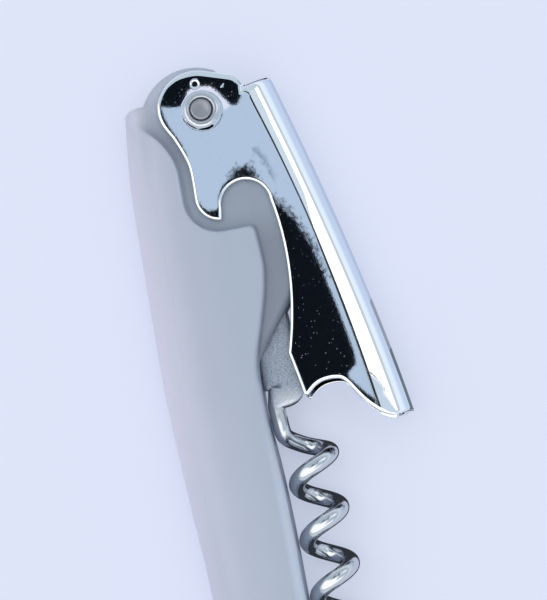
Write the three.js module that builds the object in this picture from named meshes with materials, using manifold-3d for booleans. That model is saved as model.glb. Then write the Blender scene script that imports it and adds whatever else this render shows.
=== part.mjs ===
// A single-lever corkscrew, folded shut and lying on its flat side.
// A moulded handle carries a folded steel lever with a cap hook, and a steel worm
// that swings out of a slot. Millimetres. X runs from the head to the tail of the
// handle, Y from the handle's back to the lever, Z up from the face it lies on.

import * as THREE from 'three';
import { mergeVertices } from 'three/addons/utils/BufferGeometryUtils.js';
import Module from 'manifold-3d';

const wasm = await Module();
wasm.setup();

// Layers, counted from the middle of the thickness outwards
const wireDiameter = 2.9;
const slotClearance = 0.3;
const tongueWall = 2.05;
const leverClearance = 0.3;
const sheetThickness = 1.2;
const cheekProud = 0.9;

// Lever, folded shut, measured from its rivet
const headRadius = 6.5;
const headCentreAlong = 0.2;
const headCentreAcross = -0.9;
const browAlong = -4.9;
const browAcross = 5.9;
const reliefAlong = -2.3;
const reliefAcross = 8.4;
const webHeadAlong = -3.9;
const webHeadAcross = 12.3;
const webBootAlong = 56.6;
const webBootAcross = 25.9;
const webHeadAngle = 15.7;
const webBootAngle = 8.2;
const bendRadius = 4.6;
const neckAlong = 10.5;
const hookDepth = 3.7;
const hookReach = 19;
const hookCornerRadius = 3.8;
const throatRadius = 4.5;
const throatAlong = 17.2;
const headStartTurn = 172;
const headEndTurn = 285;
const bellyAlong = 30;
const bellyAcross = 11;
const kinkAlong = 43.6;
const kinkAcross = 7;
const toothAlong = 51.2;
const toothAcross = 8.8;
const toothRadius = 0.5;
const toothTurn = 30;
const notchAlong = 49.2;
const notchAcross = 13.5;
const heelAlong = 57.2;
const heelAcross = 22.4;
const dimpleAlong = -4.4;
const dimpleAcross = -0.3;
const dimpleDiameter = 1.5;
const dimpleDepth = 0.35;

// Rivet that the lever turns on, with a pressed ring over each end
const rivetDiameter = 3.6;
const runningClearance = 0.1;
const rivetChamfer = 0.25;
const collarDiameter = 6.3;
const collarHeight = 0.6;
const seatGap = 0.1;

// Worm, folded shut, and the pin that it swings on
const pinAlong = 31.5;
const pinAcross = 3.4;
const pinDiameter = 2.2;
const pinSink = 0.3;
const pinBlindWall = 2.6;
const tangWidth = 5.4;
const tangThickness = 2.6;
const tangReach = 20.2;
const tangTilt = 2.5;
const tangBevel = 0.5;
const coilDiameter = 9.5;
const coilPitch = 9.65;
const coilClearance = 0.3;
const coilLead = 4.8;
const wormTipShort = 3;
const tipDiameter = 0.4;
const wormSwing = 105;

// Handle, measured from the rivet
const shoulderAlong = -2.7;
const handleReach = 108;
const tailLength = 11;
const shoulderDepth = 13.4;
const backDepth = 15.2;
const tailDepth = 12.4;
const cheekRise = 5.8;
const waistRise = 1.4;
const gripRise = 2.35;
const backRound = 7.5;
const frontRound = 1.4;
const recessMargin = 2.1;
const recessMouthAlong = 0.6;
const recessMouthDepth = 12.6;
const recessCornerRadius = 1.4;
const recessFillet = 1.5;
const tongueHeadRadius = 9;
const tongueHeadAlong = 1.5;
const tongueHeadAcross = -1.3;
const tongueEdge = 0.5;
const tongueToeAlong = 44.9;
const tongueToeAcross = 0.9;
const tongueTopAlong = 26.5;
const tongueHeadTurn = 150;
const shoulderRound = 1.5;
const cutOverrun = 2;
const pointSpacing = 0.02;

// Layers worked out from the sizes above
const slotWidth = wireDiameter + 2 * slotClearance;
const tongueHalf = slotWidth / 2 + tongueWall;
const channelHalf = tongueHalf + leverClearance;
const leverHalf = channelHalf + sheetThickness;
const cheekHalf = leverHalf + cheekProud;

// The coil runs from just past the lever's tooth to just short of the handle's tail, and
// the sheet's bend leaves at least a sheet's thickness of the lever's back flat
const coilStartAlong = toothAlong + coilLead;
const wormTipAlong = handleReach - wormTipShort;
const foldRadius = Math.min(bendRadius, leverHalf - sheetThickness / 2);

// Counts and colours
const roundSteps = 28;
const bendSteps = 6;
const webSteps = 14;
const coilSteps = 20;
const wireSides = 10;
const backSteps = 7;
const filletSteps = 3;
const tailSteps = 6;
const gripSteps = 24;
const plastic = { color: 0xdfe4ea, roughness: 0.42, metalness: 0 };
const chrome = { color: 0xc9ced4, roughness: 0.12, metalness: 1 };
const steel = { color: 0x9d9c98, roughness: 0.4, metalness: 1 };

// The handle's edges: places along it as shares of its reach, heights as shares of the
// way from one named height to the next
const cheekShares = [
  [-0.03, 0.8], [0.14, 0.84], [0.2, 0.93], [0.245, 1], [0.27, 0.98],
  [0.305, 0.81], [0.35, 0.5], [0.405, 0.1], [0.45, 0],
];
const gripShares = [[0.5, 0], [0.58, 0.6], [0.67, 0.93], [0.76, 1], [1, 1]];
const shoulderShares = [[-0.03, -0.1], [0, 0.1], [0.09, 0.65], [0.19, 0.85], [0.32, 0.93], [0.42, 1]];
const tailShares = [[0.52, 0.13], [0.63, 0.37], [0.7, 0.52], [0.77, 0.64], [0.9, 0.9], [1, 1.15]];
const wallFadeShares = [0.34, 0.44];

// Handles of the free curves, as shares of the way between the places they join
const neckShares = [[0.15, 0.15], [0.5, 1]];
const notchShares = [[0, 0.25], [0.58, 0.55]];
const mouthShares = [[0.06, 0.44], [0.54, 1]];

// The tail's rounding: how far it turns, as a share of a quarter turn, and how fast its
// width and thickness fall off, as powers
const tailTurnShare = 0.93;
const tailWidthShare = 0.85;
const tailThicknessShare = 0.4;

// A fillet as a share of the width it rounds, a step along the cheek's edge as a share of
// the recess fillet, and a ring's rim as a share of its height
const filletLimitShare = 1 / 3;
const edgeStepShare = 1.15;
const collarRimShare = 1 / 3;

// Where the shank joins the coil, as a share of a turn, how far it runs on past the tang,
// as a share of the wire, and how long it bends, as a share of the coil's radius
const joinTurnShare = 1 / 6;
const shankRunShare = 3 / 5;
const shankBendShare = 4 / 5;

const radians = THREE.MathUtils.degToRad;

// Closed geometry to a solid that can be cut and joined, and back again
function solidOf(geometry) {
  geometry.deleteAttribute('normal');
  geometry.deleteAttribute('uv');
  const merged = mergeVertices(geometry);
  return new wasm.Manifold(new wasm.Mesh({
    numProp: 3,
    vertProperties: new Float32Array(merged.attributes.position.array),
    triVerts: new Uint32Array(merged.index.array),
  }));
}

function geometryOf(solid) {
  const mesh = solid.simplify(pointSpacing).getMesh();
  const geometry = new THREE.BufferGeometry();
  geometry.setAttribute('position', new THREE.BufferAttribute(mesh.vertProperties, 3));
  geometry.setIndex(new THREE.BufferAttribute(mesh.triVerts, 1));
  geometry.computeVertexNormals();
  return geometry;
}

// An outline's points, without those that nearly repeat the one before
function cleanPoints(shape) {
  const points = shape.getPoints(roundSteps / 2);
  return points.filter((point, index) => {
    const before = points[(index + points.length - 1) % points.length];
    return point.distanceTo(before) > pointSpacing;
  });
}

// An outline in the XY plane, made solid between two heights
function slab(shape, low, high, bevel = 0) {
  const geometry = new THREE.ExtrudeGeometry(new THREE.Shape(cleanPoints(shape)), {
    depth: high - low - 2 * bevel,
    bevelEnabled: bevel > 0,
    bevelThickness: bevel,
    bevelSize: bevel,
    bevelOffset: -bevel,
    bevelSegments: filletSteps,
  });
  geometry.translate(0, 0, low + bevel);
  return solidOf(geometry);
}

// A round bar along Z
function bar(diameter, low, high, along = 0, across = 0) {
  const geometry = new THREE.CylinderGeometry(diameter / 2, diameter / 2, high - low, roundSteps);
  geometry.rotateX(Math.PI / 2);
  geometry.translate(along, across, (low + high) / 2);
  return solidOf(geometry);
}

// Rings of points, all with the same number, skinned and capped into one solid
function skinOf(rings, section) {
  const count = section.length;
  const turned = THREE.ShapeUtils.area(section) < 0;
  const ordered = turned ? rings.map((ring) => ring.toReversed()) : rings;
  const outline = turned ? section.toReversed() : section;
  const positions = ordered.flat().flatMap((point) => [point.x, point.y, point.z]);
  const indices = [];
  for (let ring = 0; ring + 1 < rings.length; ring += 1) {
    for (let side = 0; side < count; side += 1) {
      const next = (side + 1) % count;
      const here = ring * count;
      const there = here + count;
      indices.push(here + side, here + next, there + next);
      indices.push(here + side, there + next, there + side);
    }
  }
  const lastRing = (rings.length - 1) * count;
  for (const [a, b, c] of THREE.ShapeUtils.triangulateShape(outline, [])) {
    indices.push(a, c, b);
    indices.push(lastRing + a, lastRing + b, lastRing + c);
  }
  const geometry = new THREE.BufferGeometry();
  geometry.setAttribute('position', new THREE.Float32BufferAttribute(positions, 3));
  geometry.setIndex(indices);
  return solidOf(geometry);
}

// The lever's back, seen from the side: one gentle bend from the head to the boot
function webCurve() {
  const head = new THREE.Vector2(webHeadAlong, webHeadAcross);
  const boot = new THREE.Vector2(webBootAlong, webBootAcross);
  const headSlope = Math.tan(radians(webHeadAngle));
  const bootSlope = Math.tan(radians(webBootAngle));
  const rise = boot.y - head.y + headSlope * head.x - bootSlope * boot.x;
  const along = rise / (headSlope - bootSlope);
  const crossing = new THREE.Vector2(along, head.y + headSlope * (along - head.x));
  return new THREE.QuadraticBezierCurve(head, crossing, boot);
}

// Stations along the lever's back: the point, and the way towards the open side.
// The first and last run on in line by the given length.
function webStations(runOn) {
  const curve = webCurve();
  const stations = [];
  for (let step = 0; step <= webSteps; step += 1) {
    const point = curve.getPoint(step / webSteps);
    const tangent = curve.getTangent(step / webSteps);
    stations.push({ point, tangent, inward: new THREE.Vector2(tangent.y, -tangent.x) });
  }
  const first = stations[0];
  const last = stations[webSteps];
  const before = first.point.clone().addScaledVector(first.tangent, -runOn);
  const after = last.point.clone().addScaledVector(last.tangent, runOn);
  return [{ ...first, point: before }, ...stations, { ...last, point: after }];
}

// Section of the folded sheet: a flat back, two round bends and two straight sides
function foldSection(inset, depth) {
  const radius = foldRadius - inset;
  const flatHalf = leverHalf - foldRadius;
  const points = [new THREE.Vector2(depth, -flatHalf - radius)];
  for (const side of [-1, 1]) {
    for (let step = 0; step <= bendSteps; step += 1) {
      const share = side < 0 ? step / bendSteps : 1 - step / bendSteps;
      const angle = share * Math.PI / 2;
      const reach = foldRadius - radius * Math.sin(angle);
      points.push(new THREE.Vector2(reach, side * (flatHalf + radius * Math.cos(angle))));
    }
  }
  points.push(new THREE.Vector2(depth, flatHalf + radius));
  return points;
}

function foldedBar(inset, depth) {
  const section = foldSection(inset, depth);
  const stations = webStations(headRadius + hookDepth).reverse();
  const rings = stations.map(({ point, inward }) => section.map((place) => {
    const spot = point.clone().addScaledVector(inward, place.x);
    return new THREE.Vector3(spot.x, spot.y, place.y);
  }));
  return skinOf(rings, section);
}

// A free curve to a new place, with its two handles as shares of the way there
function curveTo(shape, from, to, handleShares) {
  const [leaving, arriving] = handleShares.map(([alongShare, acrossShare]) => new THREE.Vector2(
    THREE.MathUtils.lerp(from.x, to.x, alongShare),
    THREE.MathUtils.lerp(from.y, to.y, acrossShare),
  ));
  shape.bezierCurveTo(leaving.x, leaving.y, arriving.x, arriving.y, to.x, to.y);
}

// Side view of the lever: round head, cap hook and throat, open edge, notched boot
function leverOutline() {
  const shape = new THREE.Shape();
  const headStart = radians(headStartTurn);
  const headEnd = radians(headEndTurn);
  const toothEnd = radians(toothTurn);
  const headFoot = new THREE.Vector2(
    headCentreAlong + headRadius * Math.cos(headEnd),
    headCentreAcross + headRadius * Math.sin(headEnd),
  );
  const hookCentreAlong = hookReach - hookCornerRadius;
  const lipAcross = hookCornerRadius - hookDepth;
  const throatAcross = lipAcross + throatRadius;
  const neck = new THREE.Vector2(neckAlong, -hookDepth);
  const notch = new THREE.Vector2(notchAlong, notchAcross);
  const heel = new THREE.Vector2(heelAlong, heelAcross);
  shape.moveTo(reliefAlong, reliefAcross);
  shape.quadraticCurveTo(browAlong, (reliefAcross + browAcross) / 2, browAlong, browAcross);
  shape.absarc(headCentreAlong, headCentreAcross, headRadius, headStart, headEnd, false);
  curveTo(shape, headFoot, neck, neckShares);
  shape.absarc(hookCentreAlong, lipAcross, hookCornerRadius, -Math.PI / 2, 0, false);
  shape.absarc(throatAlong, throatAcross, throatRadius, -Math.PI / 2, -3 * Math.PI / 2, true);
  shape.quadraticCurveTo(bellyAlong, bellyAcross, kinkAlong, kinkAcross);
  shape.absarc(toothAlong - toothRadius, toothAcross, toothRadius, -Math.PI / 2, toothEnd, false);
  shape.quadraticCurveTo(notch.x, (toothAcross + notch.y) / 2, notch.x, notch.y);
  curveTo(shape, notch, heel, notchShares);
  shape.lineTo(webBootAlong, webBootAcross + cutOverrun);
  shape.lineTo(webHeadAlong, webHeadAcross + cutOverrun);
  shape.lineTo(webHeadAlong, reliefAcross + sheetThickness);
  return shape;
}

function makeLever() {
  const depth = webBootAcross + headRadius + hookDepth;
  const sheet = foldedBar(0, depth).subtract(foldedBar(sheetThickness, depth + cutOverrun));
  const blank = slab(leverOutline(), -leverHalf - cutOverrun, leverHalf + cutOverrun);
  const bore = bar(rivetDiameter + 2 * runningClearance, -leverHalf - cutOverrun, leverHalf + cutOverrun);
  let lever = sheet.intersect(blank).subtract(bore);
  for (const side of [-1, 1]) {
    const high = side * (leverHalf + cutOverrun);
    const low = side * (leverHalf - dimpleDepth);
    const dimple = bar(dimpleDiameter, Math.min(low, high), Math.max(low, high), dimpleAlong, dimpleAcross);
    lever = lever.subtract(dimple);
  }
  return lever;
}

// Rivet through the handle and both sides of the lever, with chamfered ends
function makeRivet() {
  const radius = rivetDiameter / 2;
  const profile = [
    new THREE.Vector2(0, -cheekHalf),
    new THREE.Vector2(radius - rivetChamfer, -cheekHalf),
    new THREE.Vector2(radius, rivetChamfer - cheekHalf),
    new THREE.Vector2(radius, cheekHalf - rivetChamfer),
    new THREE.Vector2(radius - rivetChamfer, cheekHalf),
    new THREE.Vector2(0, cheekHalf),
  ];
  const geometry = new THREE.LatheGeometry(profile, roundSteps);
  geometry.rotateX(Math.PI / 2);
  return solidOf(geometry);
}

// Ring over one end of the rivet, with a domed top
function makeCollar(side) {
  const inner = rivetDiameter / 2 + runningClearance;
  const outer = collarDiameter / 2;
  const base = leverHalf + seatGap;
  const top = base + collarHeight;
  const middle = (inner + outer) / 2;
  const shoulder = base + collarHeight * collarRimShare;
  const profile = [
    new THREE.Vector2(inner, base),
    new THREE.Vector2(outer, base),
    new THREE.Vector2(outer, shoulder),
    new THREE.Vector2((outer + middle) / 2, (top + shoulder) / 2),
    new THREE.Vector2(middle, top),
    new THREE.Vector2(inner, top),
    new THREE.Vector2(inner, base),
  ];
  const geometry = new THREE.LatheGeometry(profile, roundSteps);
  geometry.rotateX(side * Math.PI / 2);
  return solidOf(geometry);
}

// Front and back edges of the handle, seen from the side
function frontEdge() {
  const cheek = cheekShares.map(([alongShare, riseShare]) => new THREE.Vector2(
    alongShare * handleReach,
    THREE.MathUtils.lerp(waistRise, cheekRise, riseShare),
  ));
  const grip = gripShares.map(([alongShare, riseShare]) => new THREE.Vector2(
    alongShare * handleReach,
    THREE.MathUtils.lerp(waistRise, gripRise, riseShare),
  ));
  return new THREE.SplineCurve([...cheek, ...grip]);
}

function backEdge() {
  const shoulder = shoulderShares.map(([alongShare, depthShare]) => new THREE.Vector2(
    alongShare * handleReach,
    -THREE.MathUtils.lerp(shoulderDepth, backDepth, depthShare),
  ));
  const tail = tailShares.map(([alongShare, depthShare]) => new THREE.Vector2(
    alongShare * handleReach,
    -THREE.MathUtils.lerp(backDepth, tailDepth, depthShare),
  ));
  return new THREE.SplineCurve([...shoulder, ...tail]);
}

// Height of an edge at one place along the handle
function acrossAt(curve, along) {
  let low = 0;
  let high = 1;
  for (let halving = 0; halving < roundSteps; halving += 1) {
    const middle = (low + high) / 2;
    if (curve.getPoint(middle).x < along) {
      low = middle;
    } else {
      high = middle;
    }
  }
  return curve.getPoint(high).y;
}

// One section of the handle: flat front with small fillets, broad round back
function gripSection(back, front, half) {
  const width = front - back;
  const round = Math.min(backRound, width / 2);
  const fillet = Math.min(frontRound, width * filletLimitShare, half / 2);
  const quarter = [];
  for (let step = 0; step <= filletSteps; step += 1) {
    const angle = (step / filletSteps) * Math.PI / 2;
    const across = front - fillet + fillet * Math.cos(angle);
    quarter.push(new THREE.Vector2(across, half - fillet + fillet * Math.sin(angle)));
  }
  for (let step = 0; step < backSteps; step += 1) {
    const angle = (step / backSteps) * Math.PI / 2;
    quarter.push(new THREE.Vector2(back + round - round * Math.sin(angle), half * Math.cos(angle)));
  }
  const mirrored = quarter.toReversed().map((point) => new THREE.Vector2(point.x, -point.y));
  return [...quarter, new THREE.Vector2(back, 0), ...mirrored];
}

// The grip behind the cheek's edge, which the recess cuts back to that edge
function gripFrontAt(curve, along) {
  const [startShare, endShare] = wallFadeShares;
  const fade = 1 - THREE.MathUtils.smoothstep(along, startShare * handleReach, endShare * handleReach);
  return acrossAt(curve, along) + fade * recessFillet;
}

// The grip's stations: a rounded shoulder, an even run and a rounded tail
function gripStations() {
  const edge = frontEdge();
  const back = backEdge();
  const frontAt = (along) => gripFrontAt(edge, along);
  const tailStart = handleReach - tailLength;
  const tailTurn = tailTurnShare * Math.PI / 2;
  const stations = [];
  for (let step = 0; step < filletSteps; step += 1) {
    const angle = (step / filletSteps) * Math.PI / 2;
    const along = shoulderAlong + shoulderRound * (1 - Math.cos(angle));
    const rounding = shoulderRound * (1 - Math.sin(angle));
    const low = acrossAt(back, along) + rounding;
    stations.push({ along, back: low, front: frontAt(along), half: cheekHalf });
  }
  const start = shoulderAlong + shoulderRound;
  for (let step = 0; step <= gripSteps; step += 1) {
    const along = THREE.MathUtils.lerp(start, tailStart, step / gripSteps);
    stations.push({ along, back: acrossAt(back, along), front: frontAt(along), half: cheekHalf });
  }
  const last = stations[stations.length - 1];
  const middle = (last.back + last.front) / 2;
  const halfWidth = (last.front - last.back) / 2;
  for (let step = 1; step <= tailSteps; step += 1) {
    const angle = tailTurn * step / tailSteps;
    const width = halfWidth * Math.cos(angle) ** tailWidthShare;
    stations.push({
      along: tailStart + tailLength * Math.sin(angle) / Math.sin(tailTurn),
      back: middle - width,
      front: middle + width,
      half: cheekHalf * Math.cos(angle) ** tailThicknessShare,
    });
  }
  return stations;
}

function makeGrip() {
  const stations = gripStations();
  const rings = stations.map(({ along, back, front, half }) => gripSection(back, front, half)
    .map((point) => new THREE.Vector3(along, point.x, point.y)));
  const { back, front, half } = stations[0];
  return skinOf(rings, gripSection(back, front, half));
}

// The step down from the cheek to the tongue, round the lever's head and hook
function recessOutline() {
  const shape = new THREE.Shape();
  const centreAlong = hookReach - hookCornerRadius;
  const centreAcross = hookCornerRadius - hookDepth;
  const floorAcross = -hookDepth - recessMargin;
  const wallAlong = hookReach + recessMargin;
  const mouth = new THREE.Vector2(recessMouthAlong, -recessMouthDepth);
  const cornerAlong = wallAlong + recessCornerRadius;
  const edge = frontEdge();
  const cornerAcross = acrossAt(edge, cornerAlong) - recessCornerRadius;
  const edgeEnd = wallFadeShares[1] * handleReach;
  const far = handleReach;
  shape.moveTo(mouth.x, -far);
  shape.lineTo(mouth.x, mouth.y);
  curveTo(shape, mouth, new THREE.Vector2(neckAlong, floorAcross), mouthShares);
  shape.absarc(centreAlong, centreAcross, hookCornerRadius + recessMargin, -Math.PI / 2, 0, false);
  shape.absarc(cornerAlong, cornerAcross, recessCornerRadius, Math.PI, Math.PI / 2, true);
  // Each step is longer than the fillet, so that no step folds over in it
  const edgeSteps = Math.floor((edgeEnd - cornerAlong) / (recessFillet * edgeStepShare));
  for (let step = 1; step <= edgeSteps; step += 1) {
    const along = THREE.MathUtils.lerp(cornerAlong, edgeEnd, step / edgeSteps);
    shape.lineTo(along, acrossAt(edge, along));
  }
  shape.lineTo(edgeEnd, far);
  shape.lineTo(-far, far);
  shape.lineTo(-far, -far);
  return shape;
}

// The tongue's front edge: the lever's back, set in past the bends of the sheet
function tongueFront() {
  const curve = webCurve();
  const inset = foldRadius + leverClearance;
  const points = [];
  for (let step = 0; step <= webSteps; step += 1) {
    const point = curve.getPoint(step / webSteps);
    const tangent = curve.getTangent(step / webSteps);
    points.push(new THREE.Vector2(point.x + tangent.y * inset, point.y - tangent.x * inset));
  }
  return new THREE.SplineCurve(points);
}

// The thin tongue that carries the rivet and fills the head end of the lever
function tongueOutline() {
  const shape = new THREE.Shape();
  const front = tongueFront();
  shape.moveTo(tongueToeAlong, tongueToeAcross);
  for (let step = 0; step <= webSteps; step += 1) {
    const along = THREE.MathUtils.lerp(tongueTopAlong, headCentreAlong, step / webSteps);
    shape.lineTo(along, acrossAt(front, along));
  }
  const headTurn = radians(tongueHeadTurn);
  shape.absarc(tongueHeadAlong, tongueHeadAcross, tongueHeadRadius, headTurn, 3 * Math.PI / 2, false);
  shape.lineTo(tongueToeAlong, tongueHeadAcross - tongueHeadRadius);
  return shape;
}

// Room for the tang to swing, from its place when shut to its place when open
function slotOutline() {
  const shape = new THREE.Shape();
  const half = tangWidth / 2 + slotClearance;
  const reach = coilStartAlong - pinAlong + cutOverrun;
  const shut = new THREE.Vector2(Math.cos(radians(tangTilt)), Math.sin(radians(tangTilt)));
  const openTurn = radians(tangTilt + wormSwing);
  const open = new THREE.Vector2(Math.cos(openTurn), Math.sin(openTurn));
  const pin = new THREE.Vector2(pinAlong, pinAcross);
  const floor = pin.clone().add(new THREE.Vector2(shut.y, -shut.x).multiplyScalar(half));
  const wall = pin.clone().add(new THREE.Vector2(-open.y, open.x).multiplyScalar(half));
  const floorEnd = floor.clone().addScaledVector(shut, reach);
  const wallEnd = wall.clone().addScaledVector(open, reach);
  const corner = floorEnd.clone().addScaledVector(open, reach);
  shape.moveTo(floor.x, floor.y);
  shape.lineTo(floorEnd.x, floorEnd.y);
  shape.lineTo(corner.x, corner.y);
  shape.lineTo(wallEnd.x, wallEnd.y);
  shape.lineTo(wall.x, wall.y);
  shape.absarc(pin.x, pin.y, half, openTurn + Math.PI / 2, 3 * Math.PI / 2 + radians(tangTilt), false);
  return shape;
}

function makeHandle() {
  const recess = recessOutline();
  const recessTop = cheekHalf + recessFillet + cutOverrun;
  const above = slab(recess, tongueHalf, recessTop, recessFillet);
  const below = slab(recess, -recessTop, -tongueHalf, recessFillet);
  const blankHalf = tongueHalf + tongueEdge;
  const tongue = slab(tongueOutline(), -blankHalf, blankHalf, 2 * tongueEdge);
  const slot = slab(slotOutline(), -slotWidth / 2, slotWidth / 2);
  const rivetBore = bar(rivetDiameter + 2 * runningClearance, -recessTop, recessTop);
  const pinBore = bar(
    pinDiameter + 2 * runningClearance,
    -recessTop,
    cheekHalf - pinBlindWall,
    pinAlong,
    pinAcross,
  );
  return makeGrip().add(tongue).subtract(above).subtract(below)
    .subtract(slot).subtract(rivetBore).subtract(pinBore);
}

// Pin that the worm swings on, let in from underneath
function makePin() {
  const low = -cheekHalf + pinSink;
  const high = cheekHalf - pinBlindWall - seatGap;
  return bar(pinDiameter, low, high, pinAlong, pinAcross);
}

// The worm's flat tang: round eye, straight sides, one shoulder down to the wire
function tangOutline() {
  const shape = new THREE.Shape();
  const half = tangWidth / 2;
  shape.absarc(0, 0, half, Math.PI / 2, 3 * Math.PI / 2, false);
  shape.lineTo(tangReach, -half);
  shape.lineTo(tangReach, wireDiameter - half);
  shape.quadraticCurveTo(tangReach - wireDiameter / 2, half, tangReach - wireDiameter, half);
  return shape;
}

// Centre line of the wire: straight out of the tang, round into the coil, to the tip
function wirePath() {
  const meanRadius = (coilDiameter - wireDiameter) / 2;
  const axisAcross = gripRise + coilClearance + coilDiameter / 2;
  const coilAt = (turn) => new THREE.Vector3(
    coilStartAlong + coilPitch * turn,
    axisAcross - meanRadius * Math.cos(2 * Math.PI * turn),
    -meanRadius * Math.sin(2 * Math.PI * turn),
  );
  const wayAt = (turn) => new THREE.Vector3(
    coilPitch / (2 * Math.PI),
    meanRadius * Math.sin(2 * Math.PI * turn),
    -meanRadius * Math.cos(2 * Math.PI * turn),
  ).normalize();
  const tilt = radians(tangTilt);
  const shankAcross = wireDiameter / 2 - tangWidth / 2;
  const shankAt = (reach) => new THREE.Vector3(
    pinAlong + reach * Math.cos(tilt) - shankAcross * Math.sin(tilt),
    pinAcross + reach * Math.sin(tilt) + shankAcross * Math.cos(tilt),
    0,
  );
  const shankEnd = shankAt(tangReach + wireDiameter * shankRunShare);
  const join = coilAt(joinTurnShare);
  const handle = meanRadius * shankBendShare;
  const blend = new THREE.CubicBezierCurve3(
    shankEnd,
    shankEnd.clone().add(new THREE.Vector3(Math.cos(tilt), Math.sin(tilt), 0).multiplyScalar(handle)),
    join.clone().addScaledVector(wayAt(joinTurnShare), -handle),
    join,
  );
  const points = [shankAt(tangReach - tangWidth), ...blend.getPoints(bendSteps)];
  const lastTurn = (wormTipAlong - coilStartAlong) / coilPitch;
  const steps = Math.ceil((lastTurn - joinTurnShare) * coilSteps);
  for (let step = 1; step <= steps; step += 1) {
    points.push(coilAt(THREE.MathUtils.lerp(joinTurnShare, lastTurn, step / steps)));
  }
  return points;
}

// A round wire along a row of points, tapered to a point over its last half turn
function wireAlong(points) {
  const taperSteps = coilSteps / 2;
  const way = (index) => {
    const before = points[Math.max(index - 1, 0)];
    const after = points[Math.min(index + 1, points.length - 1)];
    return after.clone().sub(before).normalize();
  };
  const normal = new THREE.Vector3(0, 0, 1);
  const rings = [];
  for (let index = 0; index < points.length; index += 1) {
    const tangent = way(index);
    normal.addScaledVector(tangent, -normal.dot(tangent)).normalize();
    const binormal = new THREE.Vector3().crossVectors(tangent, normal);
    const left = points.length - 1 - index;
    const share = Math.min(left / taperSteps, 1);
    const radius = THREE.MathUtils.lerp(tipDiameter, wireDiameter, share) / 2;
    rings.push(ringSection(radius).map((place) => points[index].clone()
      .addScaledVector(normal, place.x).addScaledVector(binormal, place.y)));
  }
  return skinOf(rings, ringSection(wireDiameter / 2));
}

function ringSection(radius) {
  const section = [];
  for (let side = 0; side < wireSides; side += 1) {
    const angle = 2 * Math.PI * side / wireSides;
    section.push(new THREE.Vector2(radius * Math.cos(angle), radius * Math.sin(angle)));
  }
  return section;
}

function makeWorm() {
  const tang = slab(tangOutline(), -tangThickness / 2, tangThickness / 2, tangBevel)
    .rotate([0, 0, tangTilt]).translate([pinAlong, pinAcross, 0]);
  const eye = bar(pinDiameter + 2 * runningClearance, -tangThickness, tangThickness, pinAlong, pinAcross);
  return tang.add(wireAlong(wirePath())).subtract(eye);
}

// The pieces, moved so that the box's middle stands over the origin and its foot on it
function assemble() {
  const pieces = [
    ['handle', makeHandle(), plastic],
    ['lever', makeLever(), chrome],
    ['worm', makeWorm(), chrome],
    ['lever_rivet', makeRivet(), steel],
    ['rivet_collar_front', makeCollar(1), steel],
    ['rivet_collar_back', makeCollar(-1), steel],
    ['worm_pin', makePin(), steel],
  ];
  const group = new THREE.Group();
  const box = new THREE.Box3();
  for (const [name, solid, look] of pieces) {
    const mesh = new THREE.Mesh(geometryOf(solid), new THREE.MeshStandardMaterial(look));
    mesh.name = name;
    box.expandByObject(mesh);
    group.add(mesh);
  }
  const middle = box.getCenter(new THREE.Vector3());
  group.position.set(-middle.x, -middle.y, -box.min.z);
  group.updateMatrixWorld(true);
  return group;
}

const group = assemble();

export default group;
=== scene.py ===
# Looks for a single-lever corkscrew, folded shut and lying on its flat side.
# Sizes are in millimetres from the lever's rivet, as in the part: X runs from the head to
# the tail, Y from the handle's back to the lever, Z up from the middle of the thickness.
import math
import random

import bmesh
import bpy
import numpy as np
from mathutils import Matrix, Vector
from mathutils.geometry import delaunay_2d_cdt


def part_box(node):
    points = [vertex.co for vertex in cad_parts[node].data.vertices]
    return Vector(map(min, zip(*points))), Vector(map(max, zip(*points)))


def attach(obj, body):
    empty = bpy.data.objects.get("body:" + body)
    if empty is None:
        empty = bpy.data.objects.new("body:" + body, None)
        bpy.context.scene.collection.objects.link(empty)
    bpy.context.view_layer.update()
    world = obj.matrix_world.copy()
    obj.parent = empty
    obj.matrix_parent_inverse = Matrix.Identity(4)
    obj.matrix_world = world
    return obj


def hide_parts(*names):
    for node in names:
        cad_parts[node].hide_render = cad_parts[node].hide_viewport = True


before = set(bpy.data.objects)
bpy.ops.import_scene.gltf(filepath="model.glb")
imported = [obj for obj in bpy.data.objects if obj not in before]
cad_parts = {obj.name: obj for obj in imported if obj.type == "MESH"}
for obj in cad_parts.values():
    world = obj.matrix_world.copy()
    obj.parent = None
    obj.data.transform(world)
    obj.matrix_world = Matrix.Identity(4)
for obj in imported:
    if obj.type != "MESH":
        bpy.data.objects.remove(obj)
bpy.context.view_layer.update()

MM = 0.001


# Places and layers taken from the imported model
def middle_of(node):
    low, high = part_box(node)
    return (low + high) / 2


def half_of(node):
    low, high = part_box(node)
    return (high - low) / 2 / MM


PIVOT = middle_of("lever_rivet")
PIN = (middle_of("worm_pin") - PIVOT) / MM
RIVET_RADIUS = half_of("lever_rivet").x
PIN_RADIUS = half_of("worm_pin").x
CHEEK_HALF = half_of("handle").z
LEVER_HALF = half_of("lever").z
COIL_RADIUS = half_of("worm").z
COLLAR_RADIUS = half_of("rivet_collar_front").x
COLLAR_LOW = (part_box("rivet_collar_front")[0].z - PIVOT.z) / MM
COLLAR_HIGH = (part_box("rivet_collar_front")[1].z - PIVOT.z) / MM
HANDLE_TAIL = (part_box("handle")[1].x - PIVOT.x) / MM
WORM_TIP = (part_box("worm")[1].x - PIVOT.x) / MM

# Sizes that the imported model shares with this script
WIRE = 2.9
SHEET = 1.2
TONGUE_HALF = 3.8
TANG_HALF = 2.7
TANG_FLARE = 1.6
TANG_TILT = math.radians(2.5)
TANG_SWING = math.radians(105)
SLOT_HALF = 1.75
SLOT_CLEARANCE = 0.3
SLOT_REACH = 26.35
BORE_CLEARANCE = 0.1
AXIS = 0.001
MERGE_DISTANCE = 1e-7


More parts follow.
